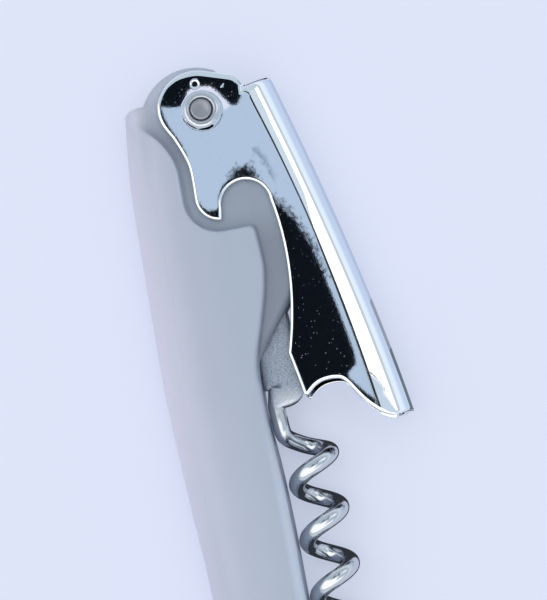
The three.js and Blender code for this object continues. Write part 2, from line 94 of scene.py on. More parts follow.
def place(x, y, z=0.0):
    """A place in millimetres from the rivet, as a point of the frame in metres"""
    return Vector((PIVOT.x + x * MM, PIVOT.y + y * MM, PIVOT.z + z * MM))


def smoothstep(value, low, high):
    t = np.clip((np.asarray(value, float) - low) / (high - low), 0, 1)
    return t * t * (3 - 2 * t)


def mix(a, b, share):
    return a + (b - a) * share


# Curves in the plane
def spline(points, steps=12):
    """Points of a smooth curve through a few places"""
    p = np.array([points[0], *points, points[-1]], float)
    t = np.linspace(0, 1, steps, endpoint=False)[:, None]
    rows = []
    for a, b, c, d in zip(p, p[1:], p[2:], p[3:]):
        rows.append(b + 0.5 * t * (c - a + t * (2 * a - 5 * b + 4 * c - d + t * (3 * (b - c) + d - a))))
    return np.vstack([*rows, p[-1:]])


def arc(centre, radius, start, end, steps=24):
    turn = np.radians(np.linspace(start, end, steps + 1))
    return np.column_stack([centre[0] + radius * np.cos(turn), centre[1] + radius * np.sin(turn)])


def bezier(a, b, c, d, steps=24):
    t = np.linspace(0, 1, steps + 1)[:, None]
    a, b, c, d = (np.array(point) for point in (a, b, c, d))
    return (1 - t) ** 3 * a + 3 * t * (1 - t) ** 2 * b + 3 * t ** 2 * (1 - t) * c + t ** 3 * d


def resample(points, spacing):
    """The same closed outline with even steps"""
    points = np.vstack([points, points[:1]])
    length = np.concatenate([[0], np.cumsum(np.linalg.norm(np.diff(points, axis=0), axis=1))])
    keep = np.concatenate([[True], np.diff(length) > 1e-9])
    points, length = points[keep], length[keep]
    at = np.linspace(0, length[-1], int(round(length[-1] / spacing)) + 1)
    return np.column_stack([np.interp(at, length, points[:, i]) for i in (0, 1)])[:-1]


def outline_distance(x, y, outline):
    """Distance from points to a closed outline, negative inside"""
    best = np.full(x.shape, np.inf)
    inside = np.zeros(x.shape, bool)
    for (ax, ay), (bx, by) in zip(outline, np.roll(outline, -1, axis=0)):
        ex, ey = bx - ax, by - ay
        px, py = x - ax, y - ay
        t = np.clip((px * ex + py * ey) / max(ex * ex + ey * ey, 1e-12), 0, 1)
        best = np.minimum(best, (px - t * ex) ** 2 + (py - t * ey) ** 2)
        if ay != by:
            inside ^= ((ay > y) != (by > y)) & (px < (y - ay) * ex / ey)
    return np.where(inside, -1, 1) * np.sqrt(best)


# Meshes
def add_object(name, data):
    piece = bpy.data.objects.new(name, data)
    bpy.context.scene.collection.objects.link(piece)
    return piece


def mesh_object(name, vertices, faces):
    """A mesh from vertices in millimetres from the rivet"""
    mesh = bpy.data.meshes.new(name)
    points = np.asarray(vertices, float) * MM + np.array(PIVOT)
    mesh.from_pydata(points.tolist(), [], [list(map(int, face)) for face in faces])
    mesh.validate()
    mesh.polygons.foreach_set("use_smooth", [True] * len(mesh.polygons))
    mesh.update()
    return add_object(name, mesh)


def grid_faces(rows, steps, closed):
    """Quads between rows of vertices with the same number of steps, as open or closed rows"""
    length = steps if closed else steps + 1
    faces = []
    for low in range(0, (rows - 1) * length, length):
        for step in range(steps):
            after, high = (step + 1) % length, low + length
            faces.append([low + step, low + after, high + after, high + step])
    return faces


def lathe(name, profile, centre, side=1, steps=96):
    """A turned piece about an axis along Z; the profile is rows of (radius, height)"""
    vertices = []
    turns = np.radians(np.arange(steps) * 360 / steps)
    for radius, height in profile:
        for turn in turns:
            x, y = centre[0] + radius * math.cos(turn), centre[1] + radius * math.sin(turn)
            vertices.append((x, y, side * height))
    faces = grid_faces(len(profile), steps, True)
    for row in (0, len(profile) - 1):
        if profile[row] != profile[-1 - row]:
            faces.append([row * steps + step for step in range(steps)])
    piece = mesh_object(name, vertices, faces)
    clean(piece)
    return piece


def clean(piece):
    """Merges doubled points and turns the faces outwards"""
    work = bmesh.new()
    work.from_mesh(piece.data)
    bmesh.ops.remove_doubles(work, verts=work.verts, dist=MERGE_DISTANCE)
    bmesh.ops.recalc_face_normals(work, faces=work.faces)
    work.to_mesh(piece.data)
    work.free()


# Handle: one moulding, modelled as a field that is zero on its surface
HANDLE_CELL = 0.3
HANDLE_LOW = (-8.4, -16.2)
HANDLE_FRONT = 13.5
HANDLE_MARGIN = 0.85
SHOULDER = -2.7
TAIL_START = 97.0
BACK_ROUND = 7.5
FRONT_ROUND = 1.4
SHOULDER_ROUND = 1.5
TONGUE_EDGE = 1.3
RECESS_FILLET = 1.5
RECESS_LIP = 0.7
FRONT_BLEND = 0.2
SHOULDER_BLEND = 1.2
TONGUE_BLEND = 0.3
BORE_BLEND = 0.15
PARTING_RIDGE = 0.07
PARTING_WIDTH = 0.2
PIN_BLIND_WALL = 2.6
BACK_EDGE = [(-3.2, -13.2), (0, -13.6), (9.7, -14.6), (20.5, -14.9), (34.6, -15.1), (45.4, -15.2),
             (56.2, -14.8), (68.0, -14.2), (75.6, -13.7), (83.2, -13.4), (97.2, -12.7)]
FRONT_EDGE = [(-3.2, 4.9), (15.1, 5.1), (21.6, 5.5), (26.5, 5.8), (29.2, 5.7), (32.9, 5.0), (37.8, 3.6),
              (43.7, 1.8), (48.6, 1.4), (54, 1.4), (62.6, 2.0), (72.4, 2.3), (82.1, 2.35), (97.2, 2.35)]
RECESS_MOUTH = (0.6, -12.6)
RECESS_FLOOR = -5.8
RECESS_WALL = 21.1
RECESS_ROUND = 5.9
RECESS_TURN = 1.4
RECESS_END = 47.5
TONGUE_FRONT = (0.2, 27.2)
TONGUE_FOOT = (44.9, 0.9)
TONGUE_HEAD = (1.5, -1.5)
TONGUE_HEAD_RADIUS = 9.4
FAR = 40.0


def tail_curve(back, front, steps=24):
    """The round end of the handle in side view, from the back edge to the front edge"""
    middle, half = (back + front) / 2, (front - back) / 2
    length = HANDLE_TAIL - TAIL_START
    turn = np.radians(np.linspace(-90, 90, 2 * steps + 1))
    across = middle + half * np.sign(np.sin(turn)) * np.abs(np.sin(turn)) ** 0.9
    return np.column_stack([TAIL_START + length * np.cos(turn) ** 0.9, across])


WEB_HEAD = (-3.9, 12.3)
WEB_END = -4.3
WEB_BOOT = (56.6, 25.9)
WEB_HEAD_ANGLE = 15.7
WEB_BOOT_ANGLE = 8.2
WEB_ENDS_SHARE = (-0.35, 1.25)


def web_curve(steps=160):
    """The lever's back, seen from the side: places, tangents and lengths"""
    head, boot = np.array(WEB_HEAD), np.array(WEB_BOOT)
    head_slope, boot_slope = (math.tan(math.radians(angle)) for angle in (WEB_HEAD_ANGLE, WEB_BOOT_ANGLE))
    rise = boot[1] - head[1] + head_slope * head[0] - boot_slope * boot[0]
    along = rise / (head_slope - boot_slope)
    corner = np.array([along, head[1] + head_slope * (along - head[0])])
    t = np.linspace(*WEB_ENDS_SHARE, steps + 1)[:, None]
    points = (1 - t) ** 2 * head + 2 * t * (1 - t) * corner + t ** 2 * boot
    tangents = 2 * (1 - t) * (corner - head) + 2 * t * (boot - corner)
    tangents /= np.linalg.norm(tangents, axis=1)[:, None]
    lengths = np.concatenate([[0], np.cumsum(np.linalg.norm(np.diff(points, axis=0), axis=1))])
    return points, tangents, lengths


WEB_POINTS, WEB_TANGENTS, WEB_LENGTHS = web_curve()
FOLD_RADIUS = 4.6


def web_at(length, depth):
    """Side-view place at a length along the lever's back and a depth in from it"""
    x = np.interp(length, WEB_LENGTHS, WEB_POINTS[:, 0])
    y = np.interp(length, WEB_LENGTHS, WEB_POINTS[:, 1])
    tx = np.interp(length, WEB_LENGTHS, WEB_TANGENTS[:, 0])
    ty = np.interp(length, WEB_LENGTHS, WEB_TANGENTS[:, 1])
    return x + ty * depth, y - tx * depth


def recess_outline():
    """The step down from the cheek to the tongue, on both faces of the handle"""
    mouth = bezier(RECESS_MOUTH, (1.2, -9.6), (5.9, RECESS_FLOOR), (10.5, RECESS_FLOOR))
    corner = arc((RECESS_WALL - RECESS_ROUND, RECESS_FLOOR + RECESS_ROUND), RECESS_ROUND, -90, 0)
    front = spline(FRONT_EDGE)
    start = RECESS_WALL + RECESS_TURN
    edge = front[(front[:, 0] > start) & (front[:, 0] < RECESS_END)]
    turn = arc((start, edge[0, 1] - RECESS_TURN), RECESS_TURN, 180, 90)
    ends = [(RECESS_END, FAR), (-FAR, FAR), (-FAR, -FAR), (RECESS_MOUTH[0], -FAR)]
    return np.vstack([mouth, corner, turn, edge, ends])


def tongue_outline():
    """The thin tongue that carries the rivet and fills the head end of the lever"""
    lengths = np.linspace(0, WEB_LENGTHS[-1], 80)
    x, y = web_at(lengths, FOLD_RADIUS + SLOT_CLEARANCE)
    keep = (x > TONGUE_FRONT[0]) & (x < TONGUE_FRONT[1])
    front = np.column_stack([x[keep], y[keep]])[::-1]
    head = arc(TONGUE_HEAD, TONGUE_HEAD_RADIUS, 150, 270)
    return np.vstack([[TONGUE_FOOT], front, head, [(TONGUE_FOOT[0], head[-1, 1])]])


def slot_outline():
    """Room for the tang to swing, from its place when shut to its place when open"""
    half = TANG_HALF + SLOT_CLEARANCE
    swung = TANG_TILT + TANG_SWING
    along = np.array([math.cos(TANG_TILT), math.sin(TANG_TILT)])
    up = np.array([math.cos(swung), math.sin(swung)])
    centre = np.array([PIN.x, PIN.y])
    floor = centre + np.array([along[1], -along[0]]) * half
    wall = centre + np.array([-up[1], up[0]]) * (half + TANG_FLARE)
    far = [floor + along * SLOT_REACH, floor + (along + up) * SLOT_REACH, wall + up * SLOT_REACH,
           wall + up * TANG_HALF]
    return np.vstack([[floor], far, arc(centre, half, 197.5, 272.5)])


def smooth_max(a, b, width):
    blend = np.maximum(width - np.abs(a - b), 0) / width
    return np.maximum(a, b) + blend * blend * width / 4


def edge_round(inset, height, top, width, drop):
    """Field of a slab whose rim is rounded over a width and a drop, by inset from the rim"""
    over = np.maximum(width - inset, 0) / width
    rise = np.maximum(np.abs(height) - (top - drop), 0) / drop
    return (np.sqrt(over ** 2 + rise ** 2) - 1) * np.minimum(width, drop)


class HandleField:
    """The handle's surface, from flat fields sampled on a fine grid over its side view"""

    CELL = 0.15

    def __init__(self, low, high):
        self.x = np.arange(low[0], high[0] + self.CELL, self.CELL)
        self.y = np.arange(low[1], high[1] + self.CELL, self.CELL)
        x, y = np.meshgrid(self.x, self.y, indexing="ij")
        back, front = spline(BACK_EDGE), spline(FRONT_EDGE)
        tail = tail_curve(back[-1, 1], front[-1, 1])
        behind = tail[: len(tail) // 2 + 1]
        before = tail[len(tail) // 2:][::-1]
        back_region = np.vstack([(-FAR, back[0, 1]), back, behind, (behind[-1, 0], FAR), (-FAR, FAR)])
        front_region = np.vstack([(-FAR, front[0, 1]), front, before, (before[-1, 0], -FAR), (-FAR, -FAR)])
        outlines = {
            "back": back_region,
            "front": front_region,
            "recess": recess_outline(),
            "tongue": tongue_outline(),
            "slot": slot_outline(),
        }
        self.flat = {name: outline_distance(x, y, outline) for name, outline in outlines.items()}

    def sample(self, name, x, y):
        u = np.clip((x - self.x[0]) / self.CELL, 0, len(self.x) - 1.001)
        v = np.clip((y - self.y[0]) / self.CELL, 0, len(self.y) - 1.001)
        i, j = u.astype(int), v.astype(int)
        u, v = u - i, v - j
        field = self.flat[name]
        low = field[i, j] * (1 - v) + field[i, j + 1] * v
        high = field[i + 1, j] * (1 - v) + field[i + 1, j + 1] * v
        return low * (1 - u) + high * u

    def __call__(self, x, y, z):
        back, front, recess, tongue, slot = (
            self.sample(name, x, y) for name in ("back", "front", "recess", "tongue", "slot"))
        share = np.clip((x - TAIL_START) / (HANDLE_TAIL - TAIL_START), 0, 0.999)
        half = CHEEK_HALF * (1 - share ** 2) ** 0.2
        grip = edge_round(-back, z, half, BACK_ROUND, half)
        drop = np.minimum(FRONT_ROUND, half / 2)
        grip = smooth_max(grip, edge_round(-front, z, half, FRONT_ROUND, drop), FRONT_BLEND)
        shoulder = edge_round(x - SHOULDER, z, half, SHOULDER_ROUND, SHOULDER_ROUND)
        grip = smooth_max(grip, shoulder, SHOULDER_BLEND)
        ridge = PARTING_RIDGE * np.exp(-(z / PARTING_WIDTH) ** 2)
        floor = edge_round(-recess, FAR - np.abs(z), FAR - TONGUE_HALF, RECESS_FILLET, RECESS_FILLET)
        grip = smooth_max(grip - ridge, -floor, RECESS_LIP)
        blade = edge_round(-tongue, z, TONGUE_HALF, TONGUE_EDGE, TONGUE_EDGE) - ridge
        body = -smooth_max(-grip, -blade, TONGUE_BLEND)
        gap = np.maximum(slot, np.abs(z) - SLOT_HALF)
        body = smooth_max(body, -gap, FRONT_BLEND)
        bore = RIVET_RADIUS + BORE_CLEARANCE - np.hypot(x, y)
        body = smooth_max(body, bore, BORE_BLEND)
        pin_bore = np.minimum(PIN_RADIUS + BORE_CLEARANCE - np.hypot(x - PIN.x, y - PIN.y),
                              CHEEK_HALF - PIN_BLIND_WALL - z)
        return smooth_max(body, pin_bore, BORE_BLEND)


def surface_net(field, low, cell):
    """Vertices and quads where a sampled field crosses zero"""
    cells = tuple(size - 1 for size in field.shape)
    total = np.zeros((*cells, 3))
    count = np.zeros(cells)
    quads = []
    index = np.indices(field.shape)
    for axis in range(3):
        head = [slice(None)] * 3
        tail = [slice(None)] * 3
        head[axis], tail[axis] = slice(None, -1), slice(1, None)
        a, b = field[tuple(head)], field[tuple(tail)]
        crossed = (a < 0) != (b < 0)
        spots = np.argwhere(crossed)
        near, far = a[crossed], b[crossed]
        points = spots.astype(float)
        points[:, axis] += near / (near - far)
        others = [i for i in range(3) if i != axis]
        around = []
        for da, db in ((0, 0), (-1, 0), (-1, -1), (0, -1)):
            home = spots.copy()
            home[:, others[0]] += da
            home[:, others[1]] += db
            inside = np.all((home >= 0) & (home < cells), axis=1)
            spot = tuple(home[inside].T)
            np.add.at(total, spot, points[inside])
            np.add.at(count, spot, 1)
            around.append((home, inside))
        whole = np.logical_and.reduce([inside for _, inside in around])
        ring = [np.ravel_multi_index(tuple(home[whole].T), cells) for home, _ in around]
        flip = (near[whole] < 0) ^ (axis == 1)
        ring = np.column_stack(ring)
        ring[flip] = ring[flip][:, ::-1]
        quads.append(ring)
    used = np.flatnonzero(count.ravel())
    number = np.full(count.size, -1)
    number[used] = np.arange(len(used))
    vertices = total.reshape(-1, 3)[used] / count.ravel()[used][:, None]
    return np.array(low) + vertices * cell, number[np.vstack(quads)]


def settle(points, field, rounds=6, reach=0.12):
    """Moves points onto the field's zero"""
    step = 0.02
    for _ in range(rounds):
        here = field(*points.T)
        rises = [field(*(points + way).T) - field(*(points - way).T) for way in step * np.eye(3)]
        slope = np.column_stack(rises) / (2 * step)
        size = np.maximum((slope ** 2).sum(1), 0.05)
        move = -slope * (here / size)[:, None]
        length = np.maximum(np.linalg.norm(move, axis=1), 1e-9)
        points = points + move * np.minimum(1, reach / length)[:, None]
    return points


def make_handle():
    low = np.array([*HANDLE_LOW, -CHEEK_HALF - HANDLE_MARGIN])
    high = np.array([HANDLE_TAIL + 1, HANDLE_FRONT, CHEEK_HALF + HANDLE_MARGIN])
    field = HandleField(low - 1, high + 1)
    x, y = (np.arange(low[i], high[i], HANDLE_CELL) for i in (0, 1))
    levels = int(round(CHEEK_HALF / HANDLE_CELL)) + 2
    z = (np.arange(-levels, levels + 2) - 0.5) * HANDLE_CELL
    grid = np.meshgrid(x, y, z, indexing="ij")
    values = field(*(axis.ravel() for axis in grid)).reshape(grid[0].shape)
    vertices, faces = surface_net(values, (x[0], y[0], z[0]), HANDLE_CELL)
    vertices = settle(vertices, field)
    piece = mesh_object("handle_moulding", vertices, faces)
    clean(piece)
    return piece


# Lever: one folded sheet, triangulated flat and then folded
HEAD_CENTRE = (0.0, -0.7)
HEAD_RADIUS = 6.9
NECK = [(-0.4, -7.43), (1.13, -7.14), (2.56, -6.5), (4.18, -5.62), (7.69, -4.3), (10.24, -3.85)]
BELLY_TOP = 8.9
HOOK_DEPTH = 3.9
HOOK_REACH = 19.2
HOOK_ROUND = 4.2
THROAT = (17.3, 4.5)
THROAT_RADIUS = 4.2
RELIEF = (-2.3, 8.4)
BROW = (-5.05, 5.95)
HEEL = (57.2, 22.4)
HEEL_EDGE = [(49.5, 14.9), (50.5, 15.9), (52.2, 17.0), (53.9, 18.2), (55.6, 19.8), (56.6, 21.1)]
NOTCH = (49.2, 13.5)
TOOTH = (51.2, 8.8)
KINK = (43.6, 7.0)
BELLY = (30, 11)
TOOTH_ROUND = 0.5
RIM_WIDTH = 0.55
HEAD_RIM_WIDTH = 1.0
RIM_DEPTH = 0.3
INNER_RIM = 0.12
EDGE_SPACING = 0.28
FLAT_HALF = LEVER_HALF - FOLD_RADIUS
FOLD_LENGTH = math.pi / 2 * FOLD_RADIUS
FOLD_TURN = math.radians(82)
CREASE = 0.35
FLAT_START = FLAT_HALF + FOLD_LENGTH
HEAD_CUT_SLANT = 1.3
DIMPLE = (-4.5, -0.3)
NICK = (-3.7, 3.9)
BOSS = (0.25, 0.1)
BOSS_RADIUS = 3.35
DIMPLE_DEPTH = 0.09
BOSS_GROOVE = 0.012
BOSS_RISE = 0.03
NICK_DEPTH = 0.02
WAVE_DEPTH = 0.002
GRID = 0.6

# Rings of extra points round the pressed details: centre, first and last radius, and spacing
DETAIL_RINGS = [(DIMPLE, 0, 1.15, 0.12), (NICK, 0, 0.9, 0.09), (BOSS, 2.6, 3.9, 0.13)]

# How deep the sheet's bends reach in from the lever's back, by length from the head
FOLD_CURVE = spline([(-5, 4.7), (3, 4.75), (12, 4.45), (24, 4.4), (34, 4.7), (47, 5.1), (58, 5.5)])


def side_outline():
    """The open outline of one side of the lever, from the head's relief to the heel"""
    head = arc(HEAD_CENTRE, HEAD_RADIUS, 165, 255, 44)
    hook_foot = (HOOK_REACH - HOOK_ROUND, -HOOK_DEPTH)
    throat_end = (THROAT[0], THROAT[1] + THROAT_RADIUS)
    top, belly, kink = (np.array(point) for point in ((THROAT[0], BELLY_TOP), BELLY, KINK))
    rows = [
        bezier(RELIEF, (-3.2, 7.95), (-4.6, 7.2), BROW, 8),
        head,
        spline([head[-1], *NECK, hook_foot])[1:-1],
        arc((HOOK_REACH - HOOK_ROUND, HOOK_ROUND - HOOK_DEPTH), HOOK_ROUND, -90, -4),
        arc(THROAT, THROAT_RADIUS, 270, 90, 40),
        bezier(throat_end, mix(top, belly, 2 / 3), mix(kink, belly, 2 / 3), KINK),
        arc((TOOTH[0] - TOOTH_ROUND, TOOTH[1]), TOOTH_ROUND, -80, 30, 6),
        bezier((TOOTH[0] - 0.1, TOOTH[1] + 0.3), (49.5, 10.6), (NOTCH[0], 11.6), NOTCH),
        spline([NOTCH, *HEEL_EDGE, HEEL]),
    ]
    return np.vstack(rows)


def fold_depth(length):
    """Depth of the bend between the lever's back and its flat side"""
    head = np.searchsorted(WEB_POINTS[:, 0], WEB_HEAD[0])
    return np.interp(np.asarray(length) - WEB_LENGTHS[head], FOLD_CURVE[:, 0], FOLD_CURVE[:, 1])


def unfold(x, y):
    """A place in side view on the flat blank: length along the back and way across it"""
    x, y = np.atleast_1d(x).astype(float), np.atleast_1d(y).astype(float)
    away = (x[:, None] - WEB_POINTS[:, 0]) * WEB_TANGENTS[:, 0]
    away += (y[:, None] - WEB_POINTS[:, 1]) * WEB_TANGENTS[:, 1]
    first = np.clip((away > 0).sum(1) - 1, 0, len(WEB_LENGTHS) - 2)
    rows = np.arange(len(x))
    a, b = away[rows, first], away[rows, first + 1]
    length = WEB_LENGTHS[first] + (WEB_LENGTHS[first + 1] - WEB_LENGTHS[first]) * a / (a - b)
    px = np.interp(length, WEB_LENGTHS, WEB_POINTS[:, 0])
    py = np.interp(length, WEB_LENGTHS, WEB_POINTS[:, 1])
    return np.column_stack([length, FLAT_START + np.hypot(x - px, y - py) - fold_depth(length)])


def cut_across(a, b, steps=14):
    """The sheet's end across the fold, where a straight cut in side view meets it"""
    rows = []
    for share in np.linspace(1, 0, steps + 1):
        deep = (1 - math.cos(share * FOLD_TURN)) / (1 - math.cos(FOLD_TURN))
        x, y = web_at(WEB_LENGTHS, fold_depth(WEB_LENGTHS) * deep)
        side = (b[0] - a[0]) * (y - a[1]) - (b[1] - a[1]) * (x - a[0])
        spot = np.flatnonzero(np.sign(side[:-1]) != np.sign(side[1:]))[0]
        share = side[spot] / (side[spot] - side[spot + 1])
        length = WEB_LENGTHS[spot] + share * (WEB_LENGTHS[spot + 1] - WEB_LENGTHS[spot])
        rows.append((length, FLAT_HALF + FOLD_LENGTH * share))
    return np.array(rows)


def sheet_outline():
    """The flat blank's outline: both sides, the boot's end and the head's end"""
    side = unfold(*side_outline().T)
    boot = cut_across(HEEL, (WEB_BOOT[0], WEB_BOOT[1] + 2))
    head_foot = (WEB_END + HEAD_CUT_SLANT, RELIEF[1] + SHEET)
    head = cut_across(head_foot, (WEB_END, WEB_HEAD[1] + 1))
    half = np.vstack([head[::-1], unfold(*head_foot), side, boot])
    mirrored_half = (half * (1, -1))[::-1]
    return resample(np.vstack([half, mirrored_half]), EDGE_SPACING)


def fold(length, across, sink=0.0):
    """A point of the folded sheet: length along the back, way across it, and how deep
    below the outer surface"""
    deep = fold_depth(length) / (1 - math.cos(FOLD_TURN))
    high = FOLD_RADIUS / math.sin(FOLD_TURN)
    beyond = np.abs(across) - FLAT_HALF
    turn = np.clip(beyond / FOLD_LENGTH, 0, 1) * FOLD_TURN
    level = 1 - smoothstep(beyond - FOLD_LENGTH, 0, CREASE)
    away, down = high * np.cos(turn) * level, deep * np.sin(turn)
    lean = np.hypot(away, down)
    depth = deep * (1 - np.cos(turn)) + np.maximum(beyond - FOLD_LENGTH, 0) + sink * away / lean
    height = np.minimum(np.abs(across), FLAT_HALF) + high * np.sin(turn) - sink * down / lean
    x, y = web_at(length, depth)
    return np.column_stack([x, y, np.sign(across) * height])


def dents(length, across):
    """How far the outer surface is pressed in, by place on the blank"""
    flat = smoothstep(np.abs(across) - FLAT_START, 0, 0.8)
    x, y = web_at(length, np.abs(across) - FLAT_START + fold_depth(length))
    dimple = np.hypot(x - DIMPLE[0], y - DIMPLE[1])
    pit = DIMPLE_DEPTH * (1 - smoothstep(dimple, 0.5, 0.85))
    boss = np.hypot(x - BOSS[0], y - BOSS[1]) - BOSS_RADIUS
    swell = BOSS_GROOVE * np.exp(-(boss / 0.14) ** 2) - BOSS_RISE * (1 - smoothstep(boss, -0.6, 0))
    nick = np.hypot(x - NICK[0], y - NICK[1])
    turn = np.arctan2(y - NICK[1], x - NICK[0])
    nick = NICK_DEPTH * np.exp(-((nick - 0.55) / 0.08) ** 2) * np.exp(-((turn - 0.75) / 0.5) ** 2)
    wave = WAVE_DEPTH * np.sin(x * 0.3 + 0.8) * np.cos(y * 0.25 - 0.4)
    return flat * (pit + swell + nick) + wave * smoothstep(np.abs(across), 0.5, 3.5)


def rim_width(length, across):
    """Width of the sheet's rounded rim, broader at the head's end"""
    head = WEB_LENGTHS[np.searchsorted(WEB_POINTS[:, 0], WEB_HEAD[0])]
    beyond = smoothstep(length - head, 2, 5) + smoothstep(np.abs(across), 15, 20)
    return mix(HEAD_RIM_WIDTH, RIM_WIDTH, np.minimum(beyond, 1))


def slopes(function, length, across, step=0.02):
    """How a value or a place changes along and across the blank"""
    along = function(length + step, across) - function(length - step, across)
    over = function(length, across + step) - function(length, across - step)
    return along / (2 * step), over / (2 * step)


def unit(rows):
    return rows / np.linalg.norm(rows, axis=1)[:, None]


def rim_drop(away, width, depth):
    """Sink of a rounded rim by distance from the edge, and its steepness"""
    inset = np.clip(1 - away / width, 0, 1)
    flank = np.sqrt(np.maximum(1 - inset ** 2, 1e-4))
    return depth * (1 - np.sqrt(1 - inset ** 2)), -depth / width * inset / flank


def sheet_points(outline, holes):
    """Places on the blank: its edges, rows along the rim, and a grid between them"""
    points = [outline, *holes]
    normals = unit(np.roll(outline, -1, axis=0) - np.roll(outline, 1, axis=0))
    normals = np.column_stack([-normals[:, 1], normals[:, 0]])
    turned = np.sum(outline[:, 0] * np.roll(outline[:, 1], -1) - outline[:, 1] * np.roll(outline[:, 0], -1))
    normals *= np.sign(turned)
    width = rim_width(*outline.T)[:, None]
    insets = [width * (1 - math.cos(math.radians(angle))) for angle in (15, 30, 45, 60, 75, 90)]
    for inset in [*insets, width + 0.2, width + 0.42]:
        ring = outline + normals * inset
        away = -outline_distance(ring[:, 0], ring[:, 1], outline)
        points.append(ring[away > inset[:, 0] * 0.96])
    low, high = outline.min(0), outline.max(0)
    across = [np.linspace(0, FLAT_START - 0.05, 29), np.arange(FLAT_START + 0.05, high[1], GRID)]
    across = np.concatenate(across)
    across = np.concatenate([-across[:0:-1], across])
    s, a = (axis.ravel() for axis in np.meshgrid(np.arange(low[0], high[0], GRID), across, indexing="ij"))
    away = -outline_distance(s, a, outline)
    from_hole = np.minimum(*(np.hypot(s - hole[:, 0].mean(), a - hole[:, 1].mean()) for hole in holes))
    keep = (away > rim_width(s, a) + GRID) & (from_hole > RIVET_RADIUS + 0.4)
    points.append(np.column_stack([s[keep], a[keep]]))
    for centre, first, last, spacing in DETAIL_RINGS:
        spot = unfold(*centre)[0]
        radii = np.arange(spacing, last, spacing)
        for radius in radii[radii >= first]:
            ring = spot + arc((0, 0), radius, 0, 360, 10 + int(radius * 20))[:-1]
            away = -outline_distance(ring[:, 0], ring[:, 1], outline)
            ring = ring[away > rim_width(*ring.T) + 0.5]
            points += [ring, ring * (1, -1)]
    return points


def triangulate(points, outline, holes):
    """Triangles between places on the blank, inside its outline and outside its holes"""
    starts = np.cumsum([0] + [len(rows) for rows in points])
    loops = [list(range(starts[i], starts[i + 1])) for i in range(1 + len(holes))]
    edges = [(loop[i], loop[(i + 1) % len(loop)]) for loop in loops for i in range(len(loop))]
    made, _, faces, _, _, _ = delaunay_2d_cdt([Vector(p) for p in np.vstack(points)], edges, [], 1, 1e-4)
    made = np.array([tuple(p) for p in made])
    faces = np.array([face for face in faces if len(face) == 3])
    centres = made[faces].mean(1)
    inside = outline_distance(centres[:, 0], centres[:, 1], outline) < 0
    for ring in holes:
        inside &= outline_distance(centres[:, 0], centres[:, 1], ring) > 0
    faces = faces[inside]
    a, b, c = (made[faces[:, i]] for i in range(3))
    area = (b[:, 0] - a[:, 0]) * (c[:, 1] - a[:, 1]) - (b[:, 1] - a[:, 1]) * (c[:, 0] - a[:, 0])
    faces[area < 0] = faces[area < 0][:, ::-1]
    return made, faces


def make_lever():
    """The lever, and the number of its first face on the sheet's cut edge"""
    outline = sheet_outline()
    hole = unfold(*arc((0, 0), RIVET_RADIUS + BORE_CLEARANCE, 0, 360, 40)[:-1].T)
    holes = [hole, hole * (1, -1)]
    flat, faces = triangulate(sheet_points(outline, holes), outline, holes)
    s, a = flat.T

    def away(length, across):
        return -outline_distance(length, across, outline)

    edge = np.clip(away(s, a), 0, None)
    outer_drop, outer_steep = rim_drop(edge, rim_width(s, a), RIM_DEPTH)
    inner_drop, inner_steep = rim_drop(edge, INNER_RIM, INNER_RIM)
    away_slopes = slopes(away, s, a)
    dent_slopes = slopes(dents, s, a)
    along, over = (unit(way) for way in slopes(fold, s, a))
    outer = fold(s, a, outer_drop + dents(s, a))
    inner = fold(s, a, SHEET - inner_drop)
    outer_normals = np.cross(over, along)
    inner_normals = outer_normals.copy()
    for way, rim, dent in zip((along, over), away_slopes, dent_slopes):
        outer_normals += way * (outer_steep * rim + dent)[:, None]
        inner_normals -= way * (inner_steep * rim)[:, None]
    normals = unit(np.vstack([outer_normals, -inner_normals]))
    count = len(flat)
    edges = {(int(face[i]), int(face[(i + 1) % 3])) for face in faces for i in range(3)}
    walls = sorted(edge for edge in edges if (edge[1], edge[0]) not in edges)
    all_faces = [list(face)[::-1] for face in faces]
    all_faces += [[int(i) + count for i in face] for face in faces]
    all_faces += [[a, b, b + count, a + count] for a, b in walls]
    piece = mesh_object("lever_sheet", np.vstack([outer, inner]), all_faces)
    piece.data.normals_split_custom_set_from_vertices(normals.tolist())
    return piece, 2 * len(faces)


# Worm: a forged tang that runs into a round wire, wound into a coil
TANG_THICK = 1.3
TANG_REACH = 20.2
EYE_END = 0.8
COIL_START = 56.0
FIRST_TURN_LAG = 0.09
COIL_PITCH = 9.65
COIL_AXIS = 7.4
COIL_STEPS = 56
JOIN_TURN = 1 / 6
SECTION_STEPS = 28
FLAT = 5.0
ROUND = 2.0
TIP_POWER = 1.6
TIP_SHARPNESS = 0.93


